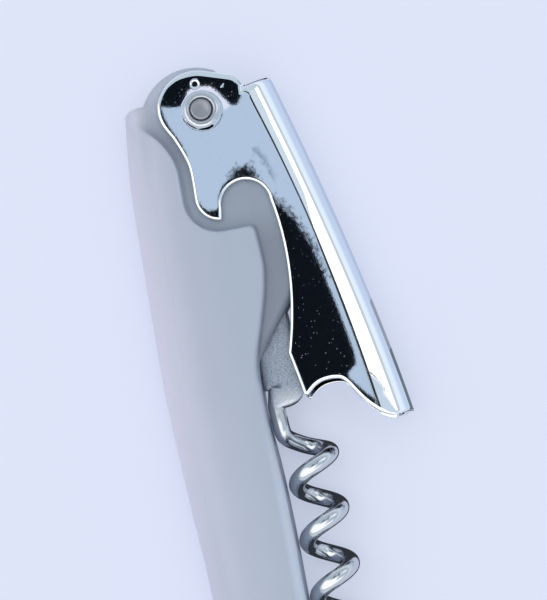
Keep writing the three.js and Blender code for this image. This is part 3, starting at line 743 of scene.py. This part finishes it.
def worm_stations():
    """Rows of centre, half width, half thickness and squareness, from the eye to the tip"""
    wire = WIRE / 2
    mean = COIL_RADIUS - wire
    turned = Matrix.Rotation(TANG_TILT, 3, "Z")
    pin = Vector((PIN.x, PIN.y, 0))

    def tang(x, y):
        return pin + turned @ Vector((x, y, 0))

    def coil(turn):
        late = FIRST_TURN_LAG * (1 - float(smoothstep(turn, 0.2, 0.62)))
        return Vector((COIL_START + COIL_PITCH * (turn + late), COIL_AXIS - mean * math.cos(math.tau * turn),
                       -mean * math.sin(math.tau * turn)))

    rows = []
    for angle in np.radians(np.linspace(3, 90, 22)):
        rows.append((tang(-TANG_HALF * math.cos(angle), 0), TANG_HALF * math.sin(angle), TANG_THICK, FLAT))
    for x in np.linspace(EYE_END, TANG_REACH - WIRE, 22):
        flare = TANG_FLARE * float(smoothstep(x, 2.0, 5.5))
        rows.append((tang(x, flare / 2), TANG_HALF + flare / 2, TANG_THICK, FLAT))
    for share in np.linspace(0.08, 1, 16):
        upper = mix(TANG_HALF + TANG_FLARE, WIRE - TANG_HALF, float(smoothstep(share, 0, 1)))
        x = TANG_REACH - WIRE + share * (WIRE + 0.4)
        rows.append((tang(x, (upper - TANG_HALF) / 2), (upper + TANG_HALF) / 2,
                     mix(TANG_THICK, wire, share), mix(FLAT, ROUND, share)))
    start = tang(TANG_REACH + 0.9, wire - TANG_HALF)
    rows.append((start, wire, wire, ROUND))
    heading = turned @ Vector((1, 0, 0))
    join = coil(JOIN_TURN)
    way = (coil(JOIN_TURN + 0.001) - coil(JOIN_TURN - 0.001)).normalized()
    run = 0.6 * WIRE
    blend = [start + heading * run, start + heading * (run + mean * 0.8), join - way * mean, join]
    for centre in bezier(*blend, 11):
        rows.append((Vector(centre), wire, wire, ROUND))
    last = (WORM_TIP - 0.2 - COIL_START) / COIL_PITCH
    count = int((last - JOIN_TURN) * COIL_STEPS)
    for turn in np.linspace(JOIN_TURN, last, count + 1).tolist()[1:]:
        left = (last - turn) * 2
        radius = wire * (1 - (1 - min(left, 1)) ** TIP_POWER * TIP_SHARPNESS)
        rows.append((coil(turn), radius, radius, ROUND))
    return rows


def make_worm():
    rows = worm_stations()
    centres = [row[0] for row in rows]
    vertices = []
    normal = Vector((0, 0, 1))
    for index, (centre, half, thick, square) in enumerate(rows):
        way = (centres[min(index + 1, len(rows) - 1)] - centres[max(index - 1, 0)]).normalized()
        normal = (normal - way * normal.dot(way)).normalized()
        across = way.cross(normal)
        for step in range(SECTION_STEPS):
            turn = math.tau * step / SECTION_STEPS
            c, s = math.cos(turn), math.sin(turn)
            power = 2 / square
            u = thick * math.copysign(abs(c) ** power, c)
            v = half * math.copysign(abs(s) ** power, s)
            vertices.append(centre + normal * u + across * v)
    end = (len(rows) - 1) * SECTION_STEPS
    faces = grid_faces(len(rows), SECTION_STEPS, True)
    faces += [list(range(SECTION_STEPS)), list(range(end, end + SECTION_STEPS))]
    piece = mesh_object("worm_wire", [tuple(v) for v in vertices], faces)
    clean(piece)
    return piece


def drill(piece, centre, radius, half):
    """Cuts a round hole along Z through a piece"""
    tool = lathe("drill", [(radius, -half), (radius, half)], centre)
    cut = piece.modifiers.new("drill", "BOOLEAN")
    cut.operation = "DIFFERENCE"
    cut.solver = "EXACT"
    cut.object = tool
    bpy.context.view_layer.objects.active = piece
    bpy.ops.object.modifier_apply(modifier=cut.name)
    bpy.data.objects.remove(tool)


# Fasteners
def make_rivet():
    r, top = RIVET_RADIUS, CHEEK_HALF
    profile = [(AXIS, -top), (r - 0.45, -top), (r - 0.2, -top + 0.06), (r, -top + 0.3), (r, top - 0.3),
               (r - 0.06, top - 0.12), (r - 0.2, top - 0.02), (r - 0.38, top), (r - 0.55, top - 0.07),
               (AXIS, top - 0.1)]
    return lathe("rivet_shank", profile, (0, 0))


def make_collar(name, side):
    inner, outer = RIVET_RADIUS + BORE_CLEARANCE, COLLAR_RADIUS
    low, high = COLLAR_LOW, COLLAR_HIGH
    shares = [(inner, 0), (outer, 0), (outer, 0.35), (outer - 0.12, 0.62), (outer - 0.45, 0.9),
              (outer - 0.8, 1), (inner + 0.3, 0.9), (inner, 0.55), (inner, 0)]
    profile = [(radius, mix(low, high, share)) for radius, share in shares]
    return lathe(name, profile, (0, 0), side)


def make_pin():
    low, high = ((corner.z - PIVOT.z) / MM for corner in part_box("worm_pin"))
    r = PIN_RADIUS
    profile = [(AXIS, low + 0.04), (r - 0.3, low + 0.02), (r - 0.15, low), (r, low + 0.15), (r, high),
               (AXIS, high)]
    return lathe("worm_axle", profile, (PIN.x, PIN.y))


# Materials
class Nodes:
    """A material's node tree, built by short calls"""

    def __init__(self, name):
        self.material = bpy.data.materials.new(name)
        self.material.use_nodes = True
        self.tree = self.material.node_tree
        self.shader = self.tree.nodes["Principled BSDF"]
        self.output = self.tree.nodes["Material Output"].inputs["Surface"]

    def plug(self, value, socket):
        """Sets an input to a value, or links it to an output"""
        if isinstance(value, bpy.types.NodeSocket):
            self.tree.links.new(value, socket)
        else:
            socket.default_value = value

    def add(self, kind, **inputs):
        """A node with values or links on its named inputs"""
        node = self.tree.nodes.new(kind)
        for key, value in inputs.items():
            self.plug(value, node.inputs[key.replace("_", " ")])
        return node

    def set(self, **values):
        for key, value in values.items():
            self.plug(value, self.shader.inputs[key.replace("_", " ")])

    def position(self):
        """Object coordinates in millimetres"""
        coordinate = self.add("ShaderNodeTexCoord")
        mapping = self.add("ShaderNodeMapping", Vector=coordinate.outputs["Object"], Scale=[1 / MM] * 3)
        return mapping.outputs["Vector"]

    def axes(self, vector):
        return self.add("ShaderNodeSeparateXYZ", Vector=vector).outputs

    def noise(self, vector, scale, detail=3.0, roughness=0.5):
        node = self.add("ShaderNodeTexNoise", Vector=vector, Scale=scale, Detail=detail, Roughness=roughness)
        return node.outputs["Fac"]

    def ramp(self, value, low, high, a=0.0, b=1.0):
        """A value brought from one range to another"""
        node = self.add("ShaderNodeMapRange", Value=value, From_Min=low, From_Max=high, To_Min=a, To_Max=b)
        return node.outputs["Result"]

    def math(self, operation, a, b=0.0):
        node = self.add("ShaderNodeMath")
        node.operation = operation
        for socket, value in zip(node.inputs, (a, b)):
            self.plug(value, socket)
        return node.outputs["Value"]

    def product(self, *values):
        whole = values[0]
        for value in values[1:]:
            whole = self.math("MULTIPLY", whole, value)
        return whole

    def bump(self, height, distance, strength=1.0, normal=None):
        node = self.add("ShaderNodeBump", Strength=strength, Distance=distance, Height=height)
        if normal is not None:
            self.plug(normal, node.inputs["Normal"])
        return node.outputs["Normal"]

    def mix_colour(self, share, a, b):
        node = self.add("ShaderNodeMix")
        node.data_type = "RGBA"
        self.plug(share, node.inputs[0])
        sockets = [socket for socket in node.inputs if socket.type == "RGBA"]
        for socket, value in zip(sockets, (a, b)):
            self.plug((*value, 1) if isinstance(value, tuple) else value, socket)
        return [socket for socket in node.outputs if socket.type == "RGBA"][0]


MILK = (0.425, 0.475, 0.59), (0.44, 0.495, 0.61)
MILK_FRONT_SHADE = (0.385, 0.455, 0.57)
MILK_BACK_LIGHT = (0.76, 0.745, 0.88)
MILK_RIM_HIGHLIGHT = (0.50, 0.58, 0.72)
MILK_RECESS_SHADE = (0.215, 0.255, 0.325), (0.275, 0.33, 0.41)


def plastic_material():
    """Milky moulded plastic with a satin skin, with painted light towards its back, a painted highlight on
    its front edge, and painted shade towards its front and in the recess round the tongue
    """
    m = Nodes("milky_plastic")
    place_mm = m.position()
    cloud = m.noise(place_mm, 0.05, 2.0)
    surface = m.mix_colour(m.ramp(cloud, 0.35, 0.65), *MILK)
    axes = m.axes(place_mm)

    def along(low, high, a=0.0, b=1.0):
        return m.ramp(axes["X"], PIVOT.x / MM + low, PIVOT.x / MM + high, a, b)

    def across(low, high, a=0.0, b=1.0):
        return m.ramp(axes["Y"], PIVOT.y / MM + low, PIVOT.y / MM + high, a, b)

    # Painted shade: the colour turns darker towards the front half of the cheek
    surface = m.mix_colour(across(-8, 0), surface, MILK_FRONT_SHADE)
    # Painted light: the colour turns paler towards the handle's rounded back
    back = across(-15.2, -6, 1.0, 0.0)
    surface = m.mix_colour(m.product(back, back), surface, MILK_BACK_LIGHT)
    # Painted highlight: a paler strip along the grip's front edge
    surface = m.mix_colour(m.product(across(0.4, 2.0), along(46, 52)), surface, MILK_RIM_HIGHLIGHT)
    # Painted shade: the tongue and the recess walls darken from the cheek's face down to the tongue's face,
    # between the head and the grip
    height = m.math("ABSOLUTE", m.math("SUBTRACT", axes["Z"], PIVOT.z / MM))
    recess_shade = m.ramp(height, TONGUE_HALF, CHEEK_HALF - 0.5, 1.0, 0.0)
    recess_shade = m.product(recess_shade, along(-5, 4), along(41, 47, 1.0, 0.0), across(-11.5, -9.5))
    # The painted shade in the recess is lighter in the throat of the hook
    inner = m.product(along(7, 14), along(18, 24, 1.0, 0.0))
    colour = m.mix_colour(recess_shade, surface, m.mix_colour(inner, *MILK_RECESS_SHADE))
    grain = m.noise(place_mm, 2.2, 4.0, 0.6)
    sink = m.noise(place_mm, 0.12, 1.0)
    skin = m.bump(grain, 0.000012, 0.5)
    skin = m.bump(sink, 0.0003, 0.35, skin)
    m.set(Base_Color=colour, Roughness=m.ramp(grain, 0.3, 0.7, 0.36, 0.46), Normal=skin)
    m.set(Subsurface_Weight=0.3, Subsurface_Radius=(1.0, 0.9, 0.8), Subsurface_Scale=0.0015, IOR=1.49)
    return m.material


def chrome_material():
    """Bright plated sheet with a faint orange peel and sparse pits"""
    m = Nodes("plated_sheet")
    place_mm = m.position()
    peel = m.noise(place_mm, 3.5, 2.0)
    cells = m.add("ShaderNodeTexVoronoi", Vector=place_mm, Scale=1.9)
    chance = m.add("ShaderNodeSeparateColor", Color=cells.outputs["Color"])
    some = m.ramp(chance.outputs["Red"], 0.5, 0.52)
    pits = m.product(m.ramp(cells.outputs["Distance"], 0.05, 0.12, 1.0, 0.0), some)
    skin = m.bump(peel, 0.0000004, 1.0)
    skin = m.bump(pits, 0.000003, 1.0, skin)
    m.set(Base_Color=(0.90, 0.92, 0.95, 1), Metallic=1.0, Roughness=0.02, Normal=skin)
    return m.material


def grained_metal(name, colour, noise, roughness, relief, strength):
    """Metal with a fine grain, from the scale, detail and roughness of its noise"""
    m = Nodes(name)
    grain = m.noise(m.position(), *noise)
    m.set(Base_Color=(*colour, 1), Metallic=1.0, Roughness=m.ramp(grain, 0.3, 0.7, *roughness))
    m.set(Normal=m.bump(grain, relief, strength))
    return m.material


def worm_material():
    """Plated wire, bright on the coil and grainy on the forged tang"""
    m = Nodes("plated_wire")
    place_mm = m.position()
    end = PIVOT.x / MM + PIN.x + TANG_REACH
    forged = m.ramp(m.axes(place_mm)["X"], end - 3.0, end + 1.5, 1.0, 0.0)
    grain = m.noise(place_mm, 4.5, 3.0, 0.7)
    draw = m.noise(place_mm, 1.4, 3.0, 0.6)
    skin = m.bump(m.product(grain, forged), 0.00012)
    skin = m.bump(draw, 0.00002, 0.4, skin)
    scale = m.mix_colour(m.ramp(grain, 0.4, 0.6), (0.26, 0.30, 0.36), (0.44, 0.49, 0.57))
    m.set(Base_Color=m.mix_colour(forged, (0.62, 0.64, 0.67), scale), Metallic=1.0)
    m.set(Roughness=m.ramp(forged, 0.0, 1.0, 0.16, 0.38), Normal=skin)
    return m.material


def floor_material():
    """Pale card, lit in part from behind so that shadows on it stay faint"""
    m = Nodes("pale_card")
    place_mm = m.position()
    grain = m.noise(place_mm, 1.5, 4.0, 0.6)
    m.set(Base_Color=(0.72, 0.75, 0.92, 1), Roughness=m.ramp(grain, 0.3, 0.7, 0.7, 0.8))
    m.set(Normal=m.bump(grain, 0.00002, 0.3))
    path = m.add("ShaderNodeLightPath").outputs
    seen = m.math("MAXIMUM", path["Is Camera Ray"], path["Is Glossy Ray"])
    seen = m.math("MAXIMUM", seen, path["Is Transmission Ray"])
    glow = m.add("ShaderNodeEmission", Color=(0.76, 0.83, 1.0, 1), Strength=1.0)
    blend = m.add("ShaderNodeMixShader")
    parts = (m.product(seen, FLOOR_GLOW), m.shader.outputs["BSDF"], glow.outputs["Emission"])
    for value, socket in zip(parts, blend.inputs):
        m.plug(value, socket)
    m.plug(blend.outputs["Shader"], m.output)
    return m.material


def glow_material(name, colour):
    m = Nodes(name)
    m.tree.nodes.remove(m.shader)
    m.plug(m.add("ShaderNodeEmission", Color=(*colour, 1), Strength=1.0).outputs["Emission"], m.output)
    return m.material


# The studio
CAMERA_AT = place(104.95, 43.71, 676.91)
CAMERA_TARGET = place(33.75, 5.87, 0.0)
CAMERA_ROLL = math.radians(10.567)
FRAME_HEIGHT_PX = 600
FOCAL_PX = 4000
SENSOR = 36.0
WORLD_LEVEL = 0.64
FLOOR_GLOW = 0.5
FLOOR_REACH = 3.0
DOME_CENTRE = place(40, 0, -LEVER_HALF)
DOME_RADIUS = 0.45
ROOM_RADIUS = 0.6
PANEL_HEIGHT = 0.164
PATCH_HEIGHT = 0.16
FRONT_HEIGHT = 0.159
FLOOR_CARD_RISE = 0.00005
STRIP_ROWS = 25

GLOWS = {
    "dark_room": (0.04, 0.045, 0.055),
    "black": (0.004, 0.006, 0.01),
    "white": (1.5, 1.5, 1.5),
    "blue": (0.48, 0.60, 0.76),
    "smoke": (0.26, 0.34, 0.46),
    "lilac": (0.80, 0.82, 0.95),
    "frost": (0.66, 0.76, 0.86),
    "ice": (0.60, 0.71, 0.83),
    "dim": (0.55, 0.66, 0.74),
    "wall_top": (0.60, 0.66, 0.72),
    "wall": (0.83, 0.94, 1.04),
    "wall_foot": (0.67, 0.79, 0.98),
    "far": (0.58, 0.69, 0.89),
    "near": (0.515, 0.60, 0.81),
    "shaded": (0.455, 0.52, 0.715),
    "dusk": (0.31, 0.35, 0.43),
    "shade": (0.16, 0.19, 0.23),
}

# Parts of the dome: radius, then angles from the zenith, then bearings from the handle's tail
ZONES = {
    "room": (ROOM_RADIUS, 0, 90, 0, 360, "dark_room"),
    "ring_box": (DOME_RADIUS, 17, 57, -125, 125, "white"),
    "far_box": (DOME_RADIUS, 17, 57, 125, 235, "dim"),
    "bend_box": (DOME_RADIUS, 13, 17, 60, 120, "white"),
    "wall_top": (DOME_RADIUS, 57, 66, 0, 360, "wall_top"),
    "wall": (DOME_RADIUS, 66, 84, 0, 360, "wall"),
    "wall_foot": (DOME_RADIUS, 84, 90, 0, 360, "wall_foot"),
}

# Painted shade: these strips stand for the lever's shadow on the floor where its bends reflect the floor,
# stepped darker towards the lever; the dark strips at the boot also stand for dark print on the card beneath
# it
# Strips on the floor beside the lever: nearest and farthest from it, then start and end along X
STRIPS = {
    "far_card": (12, 150, -30, 90, "far"),
    "near_card": (6, 12, -12, 36, "near"),
    "shaded_card": (0.1, 6, -6, 36, "shaded"),
    "boot_dusk": (0.1, 12, 36, 45, "dusk"),
    "boot_shade": (0.1, 12, 45, 62, "shade"),
}

# Outlines on the lever's flat side that the reflection of a card fills: height of the card above the
# floor, colour and outline
REFLECTED = {
    "overhead_panel": (PANEL_HEIGHT, "blue", [(-12, -12), (60, -12), (60, 28), (-12, 28)]),
    "head_patch": (PATCH_HEIGHT, "black", [
        (-2.3, -9), (-2, -7.2), (-1.3, -4.9), (-1.1, -3.2), (-1.7, -2.5), (-2.6, -2.1), (-3.5, -1.7),
        (-3.5, 2.2), (-2.5, 3.2), (-1.5, 3.9), (-0.5, 4.6), (0.3, 5.1), (0.4, 6.1), (-0.6, 6.8),
        (-1.9, 7.9), (-2.6, 8.6), (-4, 9), (-8, 6), (-9, 0), (-7, -7)]),
    "head_glow": (FRONT_HEIGHT, "lilac", [
        (-3.3, -1.9), (-3.8, -1), (-3.8, 0.7), (-3.5, 2.2), (-2.5, 3.1), (-1.5, 3.7), (-0.5, 4.4),
        (0.4, 4.9), (0.8, 4.1), (0.8, 3), (-0.8, -2.2)]),
    "dark_patch": (PATCH_HEIGHT, "black", [
        (16.8, 8.3), (19.2, 10.4), (22, 12.2), (25.3, 13.6), (28.4, 14.5), (32.3, 15.4), (36.2, 16.3),
        (40.1, 17.1), (45.8, 18.1), (47.7, 17.9), (48.9, 16.4), (49.8, 16.3), (51, 17.3), (52.5, 18.4),
        (55, 20.8), (56.6, 22.8), (58.2, 22), (56, 18), (53, 15.6), (50, 13.4), (51.5, 9.1), (51.3, 7.7),
        (46, -2), (40, -10), (24, -10), (20, -4.8), (19.6, 0.7), (16.2, 0.9), (14.1, 2.4), (13.3, 4.5),
        (13.8, 6.6), (15.2, 7.8)]),
    "hook_patch": (PATCH_HEIGHT, "black", [
        (15.4, -3.4), (16.6, -2.8), (17.4, -1.9), (17.5, -0.6), (17.1, 0), (15.9, 0), (14.7, 0.4),
        (13.5, 1.2), (12.9, 2.1), (12.4, 3.1), (13.6, 3.9), (14.6, 1.8), (16.6, 0.9), (19.3, 0.6),
        (19.9, -1.5), (18.5, -4.2), (15.5, -4.6)]),
    "neck_patch": (PATCH_HEIGHT, "black", [
        (-2.3, -6.9), (-1.1, -6.55), (0.3, -6.3), (1.8, -5.8), (3.2, -5.1), (5.1, -4.3), (7.5, -3.65),
        (7.5, -4.3), (5, -5.3), (3, -6.4), (1, -7.4), (-1, -7.6)]),
    "scratch_patch": (FRONT_HEIGHT, "smoke", [(8.0, 7.5), (9.6, 8.5), (11.5, 9.55), (9.9, 8.35)]),
    "faint_scratch": (FRONT_HEIGHT, "smoke", [(10.6, 8.7), (13.0, 9.85), (15.3, 10.4), (13.0, 9.6)]),
}

# Strokes reflected along a line on the flat side: count, spread, colour, seed and line
SPECKS = {
    "throat_specks": (460, 0.62, "black", 3, [
        (12.9, 3.4), (12.0, 4.2), (11.8, 5.2), (12.2, 6.0), (13.2, 6.6)]),
    "boot_specks": (520, 0.5, "black", 5, [
        (16.8, 8.6), (19.2, 10.6), (22, 12.2), (25.3, 13.6), (28.4, 14.5), (32.3, 15.4)]),
    "smudge_specks": (90, 0.3, "smoke", 7, [(8.2, 7.7), (9.8, 8.7), (11.3, 9.5), (13.5, 10.0)]),
    "relief_specks": (70, 0.2, "black", 9, [(-5.0, 6.9), (-3.6, 8.2), (-1.8, 8.6)]),
}

# Level cards: height above the rivet's middle, colour and corners
LEVEL_CARDS = {
    "bend_wedge": (PANEL_HEIGHT, "frost", [(-70, 40), (-70, 130), (-40, 130), (2, 41)]),
    "bend_line": (PATCH_HEIGHT, "dark_room", [
        (-70, 38), (-35.7, 42), (-11.8, 46), (17.8, 49), (45, 50), (45, 67), (15.3, 66), (-15, 62.8),
        (-39.7, 59.3), (-70, 54)]),
    "boot_card": (PANEL_HEIGHT, "ice", [(31.0, 50), (3.5, 265), (150, 265), (150, 50)]),
    "boot_line": (PATCH_HEIGHT, "shade", [(30.4, 50), (2.9, 265), (3.5, 265), (31.0, 50)]),
    "worm_box": (PANEL_HEIGHT, "white", [(49.5, -60), (125, -60), (125, 75), (49.5, 75)]),
    "worm_shade": (FLOOR_CARD_RISE - LEVER_HALF * MM, "dark_room", [
        (53, -1), (118, -1), (118, 16), (53, 16)]),
}


def make_camera():
    """The photograph's view: nearly square on, from the lower right of the picture"""
    data = bpy.data.cameras.new("camera")
    data.sensor_width = SENSOR
    data.lens = SENSOR * FOCAL_PX / FRAME_HEIGHT_PX
    data.clip_start, data.clip_end = 0.01, 10
    camera = add_object("camera", data)
    forward = (CAMERA_TARGET - CAMERA_AT).normalized()
    along = Vector((1, 0, 0))
    along = (along - forward * along.dot(forward)).normalized()
    side = forward.cross(along)
    down = along * math.cos(CAMERA_ROLL) + side * math.sin(CAMERA_ROLL)
    right = down.cross(forward)
    camera.matrix_world = Matrix((right, -down, -forward)).transposed().to_4x4()
    camera.location = CAMERA_AT
    bpy.context.scene.camera = camera


def make_lamp(name, at, target, size, power):
    """A rectangular soft light that points at a target"""
    data = bpy.data.lights.new(name, "AREA")
    data.shape = "RECTANGLE"
    data.size, data.size_y = size
    data.energy = power
    light = add_object(name, data)
    light.location = at
    light.rotation_euler = (target - at).to_track_quat("-Z", "Y").to_euler()


def stage_mesh(name, corners, material, faces=None):
    """A surface of the studio, which isn't part of the object"""
    mesh = bpy.data.meshes.new(name)
    mesh.from_pydata([tuple(corner) for corner in corners], [], faces or [list(range(len(corners)))])
    mesh.materials.append(material)
    piece = add_object(name, mesh)
    return piece


def card(*parts):
    """A surface of the studio that only reflections see"""
    piece = stage_mesh(*parts)
    for seen_by in ("camera", "diffuse", "shadow", "transmission", "volume_scatter"):
        setattr(piece, "visible_" + seen_by, False)


def mirrored(x, y, height):
    """Where the camera's ray, mirrored by the lever's flat side, reaches a height"""
    spot = place(x, y, LEVER_HALF)
    way = spot - CAMERA_AT
    return spot + Vector((way.x, way.y, -way.z)) * ((height - spot.z) / -way.z)


def beside_web(name, near, far, start, end, material):
    """A strip of card on the floor along the lever's back, between two distances from it"""
    first, last = (np.interp(x, WEB_POINTS[:, 0], WEB_LENGTHS) for x in (start, end))
    lengths = np.linspace(first, last, STRIP_ROWS)
    rows = np.stack([np.column_stack(web_at(lengths, -away)) for away in (near, far)], axis=1).reshape(-1, 2)
    corners = [place(x, y, -LEVER_HALF) + Vector((0, 0, FLOOR_CARD_RISE)) for x, y in rows]
    card(name, corners, material, grid_faces(STRIP_ROWS, 1, False))


def zone(name, radius, high, low, start, end, material):
    """A part of a dome that only reflections see, between two angles from the zenith and
    two bearings counted from the handle's tail"""
    turns = max(int((end - start) / 7.5), 1)
    rises = max(int((low - high) / 5), 1)
    rows = []
    for rise in np.radians(np.linspace(high, low, rises + 1)):
        for turn in np.radians(np.linspace(start, end, turns + 1)):
            way = Vector((math.sin(rise) * math.cos(turn), math.sin(rise) * math.sin(turn), math.cos(rise)))
            rows.append(DOME_CENTRE + way * radius)
    card(name, rows, material, grid_faces(rises + 1, turns, False))


def make_floor():
    corners = [(x * FLOOR_REACH, y * FLOOR_REACH, 0) for x, y in ((-1, -1), (1, -1), (1, 1), (-1, 1))]
    stage_mesh("floor", corners, floor_material())


def make_world():
    world = bpy.data.worlds.new("studio")
    bpy.context.scene.world = world
    world.use_nodes = True
    background = world.node_tree.nodes["Background"]
    background.inputs["Color"].default_value = (0.97, 0.98, 1.0, 1)
    background.inputs["Strength"].default_value = WORLD_LEVEL


def speckles(name, count, spread, material, seed, outline):
    """Short dark strokes along a line on the lever's flat side, thinning out around it"""
    chance = random.Random(seed)
    corners, faces = [], []
    for _ in range(count):
        share = chance.random() * (len(outline) - 1)
        (ax, ay), (bx, by) = outline[int(share)], outline[int(share) + 1]
        x = mix(ax, bx, share % 1) + chance.gauss(0, spread)
        y = mix(ay, by, share % 1) + chance.gauss(0, spread)
        long, wide = chance.uniform(0.1, 0.45), chance.uniform(0.04, 0.1)
        base = len(corners)
        for dx, dy in ((-long, 0), (0, -wide), (long, 0.02), (0, wide)):
            corners.append(mirrored(x + dx, y + dy * 1.4, PATCH_HEIGHT))
        faces.append([base, base + 1, base + 2, base + 3])
    card(name, corners, material, faces)


def make_reflections():
    """What the bright metal mirrors: a dark room with a pale ring of soft boxes overhead"""
    glow = {name: glow_material(name, colour) for name, colour in GLOWS.items()}
    for name, (*angles, colour) in ZONES.items():
        zone(name, *angles, glow[colour])
    for name, (*distances, colour) in STRIPS.items():
        beside_web(name, *distances, glow[colour])
    for name, (height, colour, outline) in REFLECTED.items():
        card(name, [mirrored(x, y, height) for x, y in outline], glow[colour])
    for name, (count, spread, colour, seed, line) in SPECKS.items():
        speckles(name, count, spread, glow[colour], seed, line)
    for name, (height, colour, outline) in LEVEL_CARDS.items():
        card(name, [place(x, y) + Vector((0, 0, height)) for x, y in outline], glow[colour])


def make_studio():
    make_camera()
    make_floor()
    make_world()
    make_reflections()
    bpy.context.scene.view_settings.view_transform = "Standard"
    make_lamp("key", place(-60, -60, 950), place(20, 0), (1.2, 1.2), 4.3)


# Assembly
def finish_piece(piece, body, nodes, slot, *materials):
    for material in materials:
        piece.data.materials.append(material)
    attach(piece, body)
    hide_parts(*nodes)


make_studio()

handle = make_handle()
finish_piece(handle, "handle", ["handle"], "handle_plastic", plastic_material())

lever, first_wall = make_lever()
sheared = grained_metal("sheared_edge", (0.86, 0.87, 0.9), (5.0, 4.0, 0.7), (0.15, 0.4), 0.00006, 0.6)
finish_piece(lever, "lever", ["lever"], "lever_chrome", chrome_material(), sheared)
for polygon in lever.data.polygons[first_wall:]:
    polygon.material_index = 1

worm = make_worm()
drill(worm, (PIN.x, PIN.y), PIN_RADIUS + BORE_CLEARANCE, TANG_HALF)
finish_piece(worm, "worm", ["worm"], "worm_chrome", worm_material())

steel = grained_metal("satin_steel", (0.36, 0.36, 0.39), (4.0, 4.0, 0.6), (0.34, 0.42), 0.00003, 0.5)
bright = grained_metal("bright_steel", (0.58, 0.60, 0.64), (3.0, 3.0, 0.6), (0.18, 0.28), 0.00002, 0.4)
finish_piece(make_rivet(), "handle", ["lever_rivet"], "rivet_steel", steel)
finish_piece(make_collar("front_ring", 1), "handle", ["rivet_collar_front"], "rivet_steel", bright)
finish_piece(make_collar("back_ring", -1), "handle", ["rivet_collar_back"], "rivet_steel", bright)
finish_piece(make_pin(), "handle", ["worm_pin"], "pin_steel", steel)
